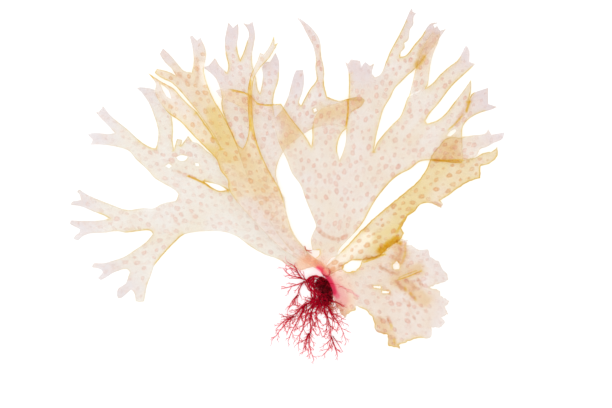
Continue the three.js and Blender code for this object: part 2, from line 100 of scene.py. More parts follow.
soft_light = bpy.data.lights.new("soft_light", "AREA")
soft_light.shape = "DISK"
soft_light.size = 1.2
soft_light.energy = 9.0
lamp = bpy.data.objects.new("soft_light", soft_light)
lamp.location = LAMP_PLACE
lamp.rotation_euler = (-LAMP_PLACE).to_track_quat("-Z", "Y").to_euler()
bpy.context.scene.collection.objects.link(lamp)

# %% [markdown]
# ## Small tools for materials
# A material here is a small graph: the colours are mixed by what each point of the membrane
# knows about itself, such as how near the margin or the tip it is. Those facts are written
# into the meshes as attributes. Colours are chosen as a membrane looks on white paper. Light
# crosses both faces on its way down and again on its way up, so each face takes the fourth
# root of that colour.

# %% Colours of light that goes through
PAPER_LIGHT = 1.18  # how bright the bare paper is, where 1 is white
DARKEST = 0.0005
ONE_FACE = 1 / 4  # light crosses two faces on its way down and two on its way up
WHITE = (1.0, 1.0, 1.0, 1.0)


def linear(rgb):
    """A screen colour of 0 to 255 as linear light."""
    parts = [c / 255 for c in rgb]
    return [p / 12.92 if p < 0.04045 else ((p + 0.055) / 1.055) ** 2.4 for p in parts]


def opaque(rgb):
    """A screen colour of 0 to 255 for a shader's socket."""
    return (*linear(rgb), 1.0)


def through(rgb):
    """The tint of one face of a layer that looks like rgb on the paper."""
    return (*[max(c / PAPER_LIGHT, DARKEST) ** ONE_FACE for c in linear(rgb)], 1.0)


def pane(*shares):
    """The tint of one face of a layer that lets these shares of red, green and blue through."""
    return (*[share ** ONE_FACE for share in shares], 1.0)


# %% Node helpers
class Graph:
    """A material and short ways to add nodes to it."""

    def __init__(self, name):
        self.material = bpy.data.materials.new(name)
        self.material.use_nodes = True
        self.nodes = self.material.node_tree.nodes
        self.links = self.material.node_tree.links
        self.nodes.clear()

    def add(self, kind, **inputs):
        node = self.nodes.new(kind)
        for key, value in inputs.items():
            self.put(node.inputs[key.replace("_", " ")], value)
        return node

    def put(self, socket, value):
        if isinstance(value, bpy.types.NodeSocket):
            self.links.new(value, socket)
        else:
            socket.default_value = value

    def attribute(self, name):
        node = self.nodes.new("ShaderNodeAttribute")
        node.attribute_name = name
        return node.outputs["Fac"]

    def blend(self, factor, first, second):
        node = self.nodes.new("ShaderNodeMix")
        node.data_type = "RGBA"
        for number, value in ((0, factor), (6, first), (7, second)):
            self.put(node.inputs[number], value)
        return node.outputs[2]

    def reckon(self, operation, first, second, clamp):
        node = self.nodes.new("ShaderNodeMath")
        node.operation = operation
        node.use_clamp = clamp
        self.put(node.inputs[0], first)
        self.put(node.inputs[1], second)
        return node.outputs[0]

    def times(self, first, second, clamp=True):
        return self.reckon("MULTIPLY", first, second, clamp)

    def plus(self, first, second, clamp=True):
        return self.reckon("ADD", first, second, clamp)

    def less(self, first, second, clamp=True):
        return self.reckon("SUBTRACT", first, second, clamp)

    def larger(self, first, second):
        return self.reckon("MAXIMUM", first, second, True)

    def besides(self, share):
        """What is left of a whole when this share is taken."""
        return self.less(1.0, share)

    def above(self, value, floor, gain):
        """How far a value stands above a floor, made steeper."""
        return self.times(self.less(value, floor), gain)

    def mottle(self, scale, detail=3.0):
        place = self.nodes.new("ShaderNodeTexCoord")
        node = self.add("ShaderNodeTexNoise", Vector=place.outputs["Object"], Scale=scale, Detail=detail)
        return node.outputs["Fac"]

    def bump(self, height, strength, distance):
        node = self.add("ShaderNodeBump", Height=height, Strength=strength, Distance=distance)
        return node.outputs["Normal"]

    def finish(self, shader):
        end = self.nodes.new("ShaderNodeOutputMaterial")
        self.links.new(shader, end.inputs["Surface"])
        return self.material

    def finish_clear(self, tint, flesh, body):
        """Ends a material that lets light through with a tint, but for the share that is body."""
        clear = self.add("ShaderNodeBsdfTransparent", Color=tint)
        mixed = self.add("ShaderNodeMixShader", Fac=body)
        self.links.new(clear.outputs[0], mixed.inputs[1])
        self.links.new(flesh.outputs[0], mixed.inputs[2])
        return self.finish(mixed.outputs[0])


# %% The floor: matt pale paper with a very faint grain
FLOOR_HALF = 4000.0
FLOOR_DEPTH = -0.02


def paper_material():
    graph = Graph("pale_paper")
    tone = graph.blend(graph.mottle(900.0), (0.90, 0.90, 0.90, 1.0), (0.93, 0.93, 0.93, 1.0))
    skin = graph.add("ShaderNodeBsdfPrincipled", Base_Color=tone, Roughness=0.9)
    return graph.finish(skin.outputs["BSDF"])


def mesh_object(name, vertices, faces, material, facts=None, smooth=True):
    """A mesh piece from places in millimetres, with one number a vertex for each named fact."""
    mesh = bpy.data.meshes.new(name)
    mesh.from_pydata((np.array(vertices, float) * MM).tolist(), [], [list(map(int, f)) for f in faces])
    for key, values in (facts or {}).items():
        layer = mesh.attributes.new(key, "FLOAT", "POINT")
        layer.data.foreach_set("value", np.array(values, np.float32))
    mesh.polygons.foreach_set("use_smooth", [smooth] * len(mesh.polygons))
    mesh.materials.append(material)
    mesh.update()
    piece = bpy.data.objects.new(name, mesh)
    bpy.context.scene.collection.objects.link(piece)
    return piece


corners = [(x * FLOOR_HALF, y * FLOOR_HALF, FLOOR_DEPTH) for x, y in [(-1, -1), (1, -1), (1, 1), (-1, 1)]]
floor = mesh_object("floor", corners, [(0, 1, 2, 3)], paper_material(), smooth=False)

# %% [markdown]
# ## The outlines of the fronds
# A frond's outline is what an eye reads first: forked lobes, two-toothed tips, torn edges and
# small holes. A tree of ribbons could be grown by a rule, but it would be some other plant, so
# the outlines are drawn on the grid, x to the right and y down, and a smooth curve is
# passed through them afterwards. Corners stay crisp where the outline turns sharply.

# %% Left frond, the lowest and palest
LEFT = {
    "edge": [
        (326, 278), (322, 272), (315, 267), (308, 268), (302, 270), (290, 266), (278, 259), (264, 254),
        (250, 246), (238, 237), (225, 232), (210, 231), (195, 232), (183, 235), (175, 242), (168, 249),
        (161, 257), (154, 266), (151, 275), (147, 285), (145, 296), (144, 301), (141, 302), (136, 301),
        (134, 292), (131, 289.5), (125, 295), (121, 298), (118, 298), (117, 294), (118, 289), (126, 283),
        (128, 278), (130, 272), (127, 269), (120, 270), (112, 273.5), (105, 278), (101, 280), (98, 278),
        (103, 273), (102, 270), (92, 267), (94, 263), (105, 263), (112, 261), (124, 257), (135, 250),
        (145, 243), (150, 238), (153, 234), (151, 231), (138, 231), (125, 232.5), (118, 231), (106, 232.5),
        (90, 233.5), (83, 236), (78, 240), (74, 239), (75, 236), (80, 232), (80, 229), (70, 224),
        (71, 220.5), (90, 221), (100, 220.5), (110, 218.5), (102, 214.5), (95, 212), (80, 206), (71, 205),
        (72, 202), (76, 201), (81, 200), (80, 195), (77, 192), (79, 189.5), (88, 195), (99, 200), (112, 205),
        (127, 210), (145, 208), (153, 208.5), (163, 203.5), (170, 202), (176, 200.5), (178.5, 194),
        (176, 191), (165, 184), (155, 178), (147, 169), (137, 160), (129, 151), (118, 147), (100, 144.5),
        (91, 144.5), (93, 140), (88, 134.5), (93, 133), (110, 134), (115, 133), (106, 123), (100, 117),
        (96, 112.5), (100, 111), (103, 106), (110, 115), (118, 122), (128, 130), (140, 141), (152, 148),
        (156, 148.5), (158, 140), (158.5, 132), (155, 118), (149, 103), (142, 93), (137, 88), (141, 87.5),
        (156, 90.5), (167, 100), (171, 114), (173, 130), (172.5, 140), (174, 150), (177, 139), (182, 140),
        (181, 146), (188, 136), (193, 142), (197, 143), (208, 152), (222, 161), (240, 172), (262, 184),
        (283, 195), (286, 211), (288, 225), (294, 236), (302, 245), (310, 255), (316, 259), (326, 268),
    ],
    "holes": [
        [(204, 181.5), (212, 187.5), (220, 191), (227, 190), (223, 187), (214, 183.5)],
        [(176, 157), (182, 155), (188, 156.5), (186, 160), (179, 160.5)],
        [(165, 166), (169, 163.5), (172, 166), (169, 168.5)],
        [(195, 163), (199, 163.5), (199, 166.5), (195.5, 166)],
    ],
}

# %% Right frond, yellowish, forked at its end and frayed below
RIGHT = {
    "edge": [
        (326.5, 267), (333.5, 259.5), (340, 252.5), (348, 245), (356, 236), (370, 222), (386, 208),
        (403, 194), (419, 180), (427, 168), (432, 155), (440, 145), (447, 138), (462, 138), (463, 158),
        (470, 159), (476, 157), (484, 153), (493, 151), (497, 147), (497, 156), (490, 163), (480, 166),
        (480, 178), (470, 181), (458, 188), (447, 196), (440, 200), (443, 204), (441, 208), (430, 203),
        (419, 205), (415, 211), (408, 216), (401, 228), (404, 233), (400, 240), (394, 244), (386, 250),
        (381, 255), (366, 260), (350, 261), (345, 264.5), (343, 268), (337, 271), (330, 275), (326, 277),
    ],
    "holes": [],
}

# %% Low right frond, ragged and holed
LOW_RIGHT = {
    "edge": [
        (331, 292), (329, 284), (326, 276), (329, 270), (336, 266), (343, 265.5), (344, 269.5), (347, 271.5),
        (352, 271.5), (357, 269), (361, 264.5), (363, 259), (372, 257), (383, 252.5), (391, 246),
        (398, 239.5), (408, 240), (406, 245), (412, 245), (416, 249), (428, 249), (431, 257), (439, 262),
        (441, 268), (447, 274), (448, 280), (438, 284), (428, 287.5), (440, 291), (440, 296), (450, 301),
        (444, 306.5), (448, 314), (441, 317), (445, 322), (440, 327), (431, 327), (432, 333), (430, 338),
        (418, 338), (406, 342), (398, 345), (403, 351), (397, 347.5), (388, 346), (388, 335), (376, 330.5),
        (374, 322), (369, 313), (364, 309), (356, 306.5), (355, 310), (350, 312), (345, 318), (341, 313),
        (337, 306), (334, 299),
    ],
    "holes": [
        [(392, 265), (396, 261), (400, 263), (399, 269), (394, 270)],
        [(373, 285.5), (380, 286), (380, 288.5), (374, 288)],
        [(382, 290), (390, 290.5), (389, 293), (382, 292.5)],
    ],
}

# %% Back frond, with three fingers, two forked lobes and a horn
BACK = {
    "edge": [
        (326, 278), (319, 271), (308, 263.5), (294, 253), (280, 237), (268, 219), (258, 201), (250, 182),
        (243, 165), (238, 150), (232, 135), (226, 121), (221.5, 105), (222, 97), (219, 85), (214, 76),
        (203, 67), (208, 66), (215, 58), (219, 65), (227, 73), (228.5, 67), (226, 55), (225, 40),
        (226.5, 31), (228.5, 22.5), (233, 28), (238, 24), (238.5, 32), (237, 45), (238, 53), (240, 60),
        (243, 54), (247, 42), (249, 36), (248, 30), (243, 23), (248, 24.5), (252.5, 22), (255, 35),
        (254, 43), (252, 54), (252.5, 66), (256, 78), (257.5, 88), (260, 94), (262, 85), (263, 75),
        (262, 66), (264, 62), (270, 62), (275.5, 53), (279, 62), (279, 72), (278, 82), (274, 94), (273, 105),
        (275, 118), (282, 110), (288, 97), (292, 82), (294, 75), (296, 70.5), (303, 70), (304, 80),
        (302, 93), (299, 103), (301, 106), (304, 100), (310, 89), (316.5, 80), (315.5, 68), (316, 60),
        (313, 46), (307, 34), (301, 23), (296, 17), (303, 21), (313, 30), (319.5, 40), (321, 55), (324, 70),
        (324, 84), (327, 97), (340, 101), (349, 98.5), (361, 97.5), (365, 100.5), (361, 106.5), (353, 111),
        (349.5, 116), (347, 123), (343.5, 127.5), (335, 125), (322, 126), (312, 129), (302, 135), (293, 142),
        (286, 148), (279, 160), (276, 174), (278, 183), (283, 198), (287, 216), (292, 232), (301, 246),
        (312, 256.5), (326, 266),
    ],
    "holes": [[(313, 109), (316, 108), (317, 111), (314, 112.5)]],
}

# %% Middle frond, with its leaflet and the lobe that leans left
MIDDLE = {
    "edge": [
        (328, 277), (321, 270), (315.5, 266.5), (311, 262), (315.5, 258), (319.5, 254.5), (319.5, 250),
        (312.5, 250), (311, 240), (313.5, 232), (316, 227), (312, 215), (306, 200), (300, 184), (292, 173),
        (287, 160), (279, 143), (275, 130), (270, 118), (262, 113), (252, 115), (245, 110), (235, 104),
        (220, 97), (216, 91), (222, 89), (240, 91), (250, 95), (258, 103), (273, 104.5), (281, 104),
        (290, 117), (297, 126), (305, 136), (311.5, 147), (312.5, 138), (312.5, 127), (316, 115), (325, 107),
        (335, 104), (343, 101.5), (348.5, 99), (349, 80), (348, 70), (345, 62), (348, 64), (351, 59.5),
        (360, 61), (361, 67.5), (365, 62), (370, 66), (374, 63.5), (372, 74), (375, 77.5), (380, 75),
        (386, 62), (390, 52), (397, 39), (405, 23), (410, 11), (412, 8), (412.5, 12), (416, 13.5),
        (413.5, 17), (413, 25), (410, 29), (408, 40), (404, 43), (404.5, 48), (401, 52), (400, 57),
        (405, 56), (415, 44), (422, 36), (428, 26), (431, 23.5), (438, 22.5), (433, 25), (434.5, 28.5),
        (437, 26), (440, 31), (446, 29), (440, 37), (434, 46), (425, 57), (416, 68), (408, 75), (400, 83),
        (395, 88), (390, 98), (384, 108), (379, 124), (376, 137), (373.5, 152), (377, 143), (383, 135),
        (393, 124), (400, 117), (404, 108), (409, 96), (426, 88), (433, 83), (440, 75), (449, 67), (458, 60),
        (462, 53), (465, 46.5), (467, 46.5), (469, 51), (469, 62), (475, 64), (470, 69), (459, 79),
        (451, 87), (444, 96), (438, 104), (430, 113), (425, 121), (427, 124), (438, 120), (447, 112),
        (453, 104), (461, 94), (471, 80), (471, 90), (468, 102.5), (472, 94), (480, 90.5), (488, 88),
        (488, 104), (497, 107), (490, 110), (482, 112), (470, 118), (463, 126), (461.5, 137), (473, 135.5),
        (486, 133), (488, 129), (491, 135), (504, 132.5), (502, 139), (494, 142.5), (486, 147), (480, 149),
        (476, 156), (470, 159), (456, 163), (440, 161), (420, 161.5), (410, 169), (400, 174), (392, 180),
        (383, 190), (376, 199), (370, 209), (363, 222), (356, 231), (345, 242.5), (338.5, 250), (336.5, 256),
        (332, 257.5), (326.5, 264), (329, 271),
    ],
    "holes": [
        [(346.5, 129), (342.5, 132), (338.5, 140), (337, 150), (339.5, 160.5), (342.3, 154), (345.5, 143)],
        [(446.5, 136), (450, 131.5), (455, 129), (456.5, 131), (453, 134.5), (450, 136.5)],
    ],
}

# %% The middle frond's finger that crosses over its neighbour
CROSSING = {
    "edge": [
        (409, 96), (411, 88), (413, 80), (418, 60), (422, 50), (427, 40), (432, 33), (437, 36), (440, 33),
        (438, 42), (433, 54), (430, 66), (429, 74), (426, 88),
    ],
    "holes": [],
}
CROSSING_ROOT = [(409, 96), (426, 88)]  # the line where the finger joins its frond

# %% Front frond, yellow, with fingers on both sides and a slit lobe
FRONT = {
    "edge": [
        (326, 266), (312, 255.5), (301, 244), (292, 230), (287, 214), (283, 198), (278, 186), (272, 176),
        (263, 158), (256, 138), (254, 128), (252.5, 100), (254, 80), (259, 70), (270, 57), (278, 43),
        (274.5, 45), (274, 36), (270, 46), (264, 55), (260, 53), (258, 60), (252, 73), (248, 90),
        (248.5, 115), (249, 130), (246, 143), (243, 149), (239, 146), (231, 130), (222, 113), (213, 98),
        (206, 80), (204, 70), (206, 55), (205, 48), (200.5, 38), (197, 41), (192, 35.5), (190, 37),
        (192.5, 47), (194, 62), (192, 73), (184, 71), (176, 62), (170, 55), (163, 48.5), (160, 54),
        (164, 61), (172, 69), (176, 76), (170, 72.5), (157, 69), (155, 73), (160, 77), (172, 83), (182, 93),
        (192, 105), (197.5, 111.5), (204, 121), (213, 134), (221.5, 149.5), (212.7, 134.3), (203.6, 121.4),
        (196.5, 111.6), (190, 106), (182, 98), (174, 89), (160, 81), (148, 73), (153, 78.5), (156, 84),
        (155.5, 91), (157.5, 98), (162, 105), (169, 113.5), (181, 122), (192, 134), (200, 142), (208, 150),
        (217, 160), (221, 171), (228, 180), (229, 189), (240, 205), (258, 225), (270, 238), (285, 251),
        (300, 260), (312, 266), (321, 271), (326, 279),
    ],
    "holes": [[(160, 83.5), (165, 87), (169, 91), (171.5, 99), (168, 97.5), (164, 92)]],
}

# %% [markdown]
# ## From outline to membrane
# Each outline becomes a fine net of triangles. Points sit close together along the margin,
# with a second row just inside it, and looser within, because the margin is what catches the
# eye. The heights come from the frame's own frond: rays dropped on it find where it lies, and
# a few rounds of smoothing take away its facets. The membrane is then given its thickness,
# thin within and thicker at the margin, as a real one rolls and thickens at its edge.

# %% Lines on the plan
TINY = 1e-6


def chain(places):
    """The straight pieces of an open line drawn on the grid."""
    line = on_plan(places)
    return np.stack([line[:-1], line[1:]], axis=1)


def run_along(line):
    """How far along the line each of its points is."""
    return np.concatenate([[0], np.cumsum(np.linalg.norm(np.diff(line, axis=0), axis=1))])


def places_at(line, run, at):
    """The places at these distances along the line."""
    return np.stack([np.interp(at, run, line[:, k]) for k in (0, 1)], axis=1)


def aside_of(ahead):
    """Unit steps to the left of each step ahead."""
    aside = np.stack([-ahead[:, 1], ahead[:, 0]], axis=1)
    return aside / np.maximum(np.linalg.norm(aside, axis=1), TINY)[:, None]


def aside_of_ring(ring):
    return aside_of(np.roll(ring, -1, axis=0) - np.roll(ring, 1, axis=0))


# %% Smooth closed curves
OUTLINE_STEP = 0.8
CORNER = math.cos(math.radians(58))  # a sharper turn than this stays a corner
WAVES_PER_MM = 0.9


def smooth_ring(points, straight=()):
    """Places along a closed curve through the points; it turns sharply where they do."""
    ring = on_plan(points)
    stiff = [frozenset(map(tuple, np.round(on_plan(pair), 4).tolist())) for pair in straight]
    chords = np.roll(ring, -1, axis=0) - ring
    lengths = np.linalg.norm(chords, axis=1)
    units = chords / lengths[:, None]
    before = np.roll(units, 1, axis=0)
    corner = ((units * before).sum(axis=1) < CORNER)[:, None]
    leaving = np.where(corner, units, (units + before) / 2)
    arriving = np.where(corner, before, (units + before) / 2)
    places = []
    for i, (start, chord, length) in enumerate(zip(ring, chords, lengths)):
        j = (i + 1) % len(ring)
        count = max(1, math.ceil(length / OUTLINE_STEP))
        ends = frozenset(map(tuple, np.round([ring[i], ring[j]], 4).tolist()))
        for t in np.arange(count) / count:
            if ends in stiff:
                places.append(start + t * chord)
                continue
            bend_out = (t ** 3 - 2 * t ** 2 + t) * length * leaving[i]
            bend_in = (t ** 3 - t ** 2) * length * arriving[j]
            places.append(start + (3 * t ** 2 - 2 * t ** 3) * chord + bend_out + bend_in)
    return np.array(places)


def frayed(ring, amount, seed):
    """The ring with a small natural waver to and fro."""
    waver = [noise.noise(Vector((x * WAVES_PER_MM, y * WAVES_PER_MM, seed))) for x, y in ring]
    return ring + aside_of_ring(ring) * (amount * np.array(waver))[:, None]


def rings_of(region, fray, seed, straight=()):
    """A region's outline and holes as smooth rings."""
    rings = [smooth_ring(r, straight) for r in [region["edge"], *region["holes"]]]
    return [frayed(ring, fray, seed + k) for k, ring in enumerate(rings)] if fray else rings


# %% Measuring on the plan
BLOCK = 64  # segments that are measured at a time


def segments_of(rings):
    return np.concatenate([np.stack([ring, np.roll(ring, -1, axis=0)], axis=1) for ring in rings])


def distance_to(places, segments):
    """The distance from each place to the nearest of the segments."""
    nearest = np.full(len(places), np.inf)
    for block in np.array_split(segments, max(1, len(segments) // BLOCK)):
        start, chord = block[:, 0], block[:, 1] - block[:, 0]
        from_start = places[:, None] - start[None]
        size = np.maximum((chord ** 2).sum(axis=1), 1e-12)
        along = np.clip((from_start * chord[None]).sum(axis=2) / size, 0, 1)
        gaps = np.linalg.norm(from_start - along[..., None] * chord[None], axis=2)
        nearest = np.minimum(nearest, gaps.min(axis=1))
    return nearest


def within(places, rings):
    """True for each place inside the first ring and outside the others."""
    odd = np.zeros(len(places), bool)
    x, y = places[:, 0], places[:, 1]
    for (x1, y1), (x2, y2) in segments_of(rings):
        crosses = (y1 > y) != (y2 > y)
        if crosses.any():
            odd ^= crosses & (x < x1 + (x2 - x1) * (y - y1) / ((y2 - y1) or 1e-12))
    return odd


# %% A fine net of triangles over one region
NET_SPACING = 1.5
NET_ROW = NET_SPACING * 0.87  # between the rows of even triangles
NET_JITTER = 0.5
MARGIN_ROW = 0.45
COVER_ROW = 0.2  # on both sides of the outline of what lies above, for a crisp change of tint
NARROW = 4  # grid steps: a stroke up to this half width gets rows of points of its own
STROKE_PITCH = 0.7
STROKE_ROWS = (-1.0, -0.4, 0.4, 1.0)
ROOM = 0.6  # between the drawn rows and the even net
EDGE_ROOM = {"inner": 0.85, "drawn": 1.6, "even": 2.2}  # least distances to the outline, in margin rows


def rows_along(strokes):
    """Points in rows along narrow strokes, so that the net can show them crisply."""
    rows = [np.empty((0, 2))]
    for places, half_width, _ in strokes:
        if half_width > NARROW:
            continue
        line = on_plan(places)
        run = run_along(line)
        middle = places_at(line, run, np.arange(0, run[-1], STROKE_PITCH))
        aside = aside_of(np.gradient(middle, axis=0))
        rows += [middle + shift * half_width * STEP * aside for shift in STROKE_ROWS]
    return np.concatenate(rows)


def rows_beside(rings, gap):
    """Points in a row on either side of each ring."""
    rows = [np.empty((0, 2))]
    for ring in rings:
        aside = aside_of_ring(ring)
        rows += [ring + aside * gap, ring - aside * gap]
    return np.concatenate(rows)


def net_over(rings, strokes, cover_rings, rng):
    """Points and triangles over the first ring, less the others."""
    lines = segments_of(rings)

    def clear_of_edge(points, kind):
        points = points[within(points, rings)]
        return points[distance_to(points, lines) > EDGE_ROOM[kind] * MARGIN_ROW] if len(points) else points

    inner = clear_of_edge(rows_beside(rings, MARGIN_ROW), "inner")
    low, high = rings[0].min(axis=0), rings[0].max(axis=0)
    columns, rows = np.arange(low[0], high[0], NET_SPACING), np.arange(low[1], high[1], NET_ROW)
    even = np.array([(x + (k % 2) * NET_SPACING / 2, y) for k, y in enumerate(rows) for x in columns])
    even += (rng.random(even.shape) - 0.5) * NET_JITTER
    drawn = clear_of_edge(np.concatenate([rows_along(strokes), rows_beside(cover_rings, COVER_ROW)]), "drawn")
    even = clear_of_edge(even, "even")
    if len(drawn):
        gaps = np.array([np.linalg.norm(drawn - p, axis=1).min() for p in even])
        even = np.concatenate([even[gaps > ROOM], drawn])
    places, edges = [], []
    for ring in rings:
        first = len(places)
        places += ring.tolist()
        edges += [(first + i, first + (i + 1) % len(ring)) for i in range(len(ring))]
    places += inner.tolist() + even.tolist()
    made = delaunay_2d_cdt([Vector(p) for p in places], edges, [], 0, 1e-5, False)
    points = np.array([tuple(p) for p in made[0]])
    faces = np.array([f[:3] for f in made[2]])
    return points, faces[within(points[faces].mean(axis=1), rings)]


# %% Heights that the frame's own fronds give
CAD_BLADE = 0.6  # thickness of the frame's fronds
RAY_START = 30.0
PULL = 0.6  # how far a round of smoothing moves a point towards its neighbours' mean


def frame_tree(*nodes):
    places, faces = [], []
    for node in nodes:
        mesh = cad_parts[node].data
        first = len(places)
        places += [v.co / MM for v in mesh.vertices]
        faces += [[first + i for i in p.vertices] for p in mesh.polygons]
    return BVHTree.FromPolygons(places, faces)


def heights_on(tree, points, from_above):
    """The middle height of the frame's blade at each place, or nan beside it."""
    side = 1.0 if from_above else -1.0
    found = []
    for x, y in points:
        hit = tree.ray_cast(Vector((x, y, side * RAY_START)), Vector((0, 0, -side)))[0]
        found.append(hit.z - side * CAD_BLADE / 2 if hit else math.nan)
    return np.array(found)


def neighbours_of(faces):
    """Pairs of joined vertices, each pair both ways, in the order of the first."""
    edges = np.concatenate([faces[:, [0, 1]], faces[:, [1, 2]], faces[:, [2, 0]]])
    edges = np.unique(np.sort(edges, axis=1), axis=0)
    both = np.concatenate([edges, edges[:, ::-1]])
    return both[np.argsort(both[:, 0], kind="stable")]


def averaged(values, pairs):
    """Each vertex's mean over its neighbours, leaving out unknown ones."""
    known = ~np.isnan(values[pairs[:, 1]])
    total = np.bincount(pairs[known, 0], values[pairs[known, 1]], len(values))
    number = np.bincount(pairs[known, 0], minlength=len(values))
    return np.where(number > 0, total / np.maximum(number, 1), math.nan)


def settled(z, pairs, rounds):
    """Heights with the unknown ones filled in, and smoothed."""
    while np.isnan(z).any():
        z = np.where(np.isnan(z), averaged(z, pairs), z)
    for _ in range(rounds):
        z = (1 - PULL) * z + PULL * averaged(z, pairs)
    return z


# %% [markdown]
# ## What each point of a membrane knows
# Growth runs from the stipe out to the tips. The shortest way through the membrane to the
# stipe gives each point its reach, and the slope of that reach is the direction of growth,
# which the spots lie along. The shortest way to a tip tells how young the point is: the
# youngest parts are rosy and clear, and the old ones are cream, with ochre at the margins.

# %% Shortest ways through the net
def shortest(points, pairs, sources):
    """The length of the shortest way from each point to a source."""
    lengths = np.linalg.norm(points[pairs[:, 0]] - points[pairs[:, 1]], axis=1)
    starts = np.searchsorted(pairs[:, 0], np.arange(len(points) + 1))
    reach = np.full(len(points), np.inf)
    queue = [(0.0, int(s)) for s in sources]
    for _, s in queue:
        reach[s] = 0.0
    heapq.heapify(queue)
    while queue:
        so_far, here = heapq.heappop(queue)
        if so_far > reach[here]:
            continue
        for k in range(starts[here], starts[here + 1]):
            there, further = pairs[k, 1], so_far + lengths[k]
            if further < reach[there]:
                reach[there] = further
                heapq.heappush(queue, (further, int(there)))
    return reach


def growth_direction(points, pairs, reach):
    """The way that the reach grows at each point, smoothed."""
    step = points[pairs[:, 1]] - points[pairs[:, 0]]
    rise = (reach[pairs[:, 1]] - reach[pairs[:, 0]]) / np.maximum((step ** 2).sum(axis=1), 1e-9)
    slope = np.stack([np.bincount(pairs[:, 0], step[:, k] * rise, len(points)) for k in (0, 1)], axis=1)
    for _ in range(4):
        slope = np.stack([averaged(slope[:, k], pairs) for k in (0, 1)], axis=1)
    return slope / np.maximum(np.linalg.norm(slope, axis=1), 1e-9)[:, None]


def eased(value, low, high):
    """0 up to low, 1 from high on, and a soft rise between."""
    t = np.clip((value - low) / (high - low), 0, 1)
    return t * t * (3 - 2 * t)


def along_strokes(points, strokes):
    """How strongly each point is touched by the listed strokes: places, half width, strength."""
    touch = np.zeros(len(points))
    for places, half_width, strength in strokes:
        gaps = distance_to(points, chain(places))
        touch = np.maximum(touch, strength * (1 - eased(gaps, 0.35 * half_width * STEP, half_width * STEP)))
    return touch


# %% One membrane
FILM = 0.13  # thickness within
FILM_MARGIN = 0.3  # thickness at the margin
RIPPLE = 0.13
RIPPLES_PER_MM = 0.22
CREASE_RISE = 0.12
SETTLING = 8  # rounds of smoothing that take away the facets of the frame
CLEARANCE = 0.01
FOOT_ROOM = 4.0  # points nearer the stipe than this are where growth starts
YOUNG_REACH = 62.0  # a tip further out than this is young and rosy
TIP_ROOM = 5.0
NO_TIP = 99.0
WEDGE = [(318.5, 268.5), (323, 272.5), (326.5, 277.5), (329.5, 284.5)]  # the crimson streak at the foot
RIM_REACH = (0.05, 0.55)  # each of these fades out between two distances
ROSY_REACH = (3.0, 18.0)
BLUSH_REACH = (0.6, 9.0)
CORE_REACH = (0.5, 1.7)


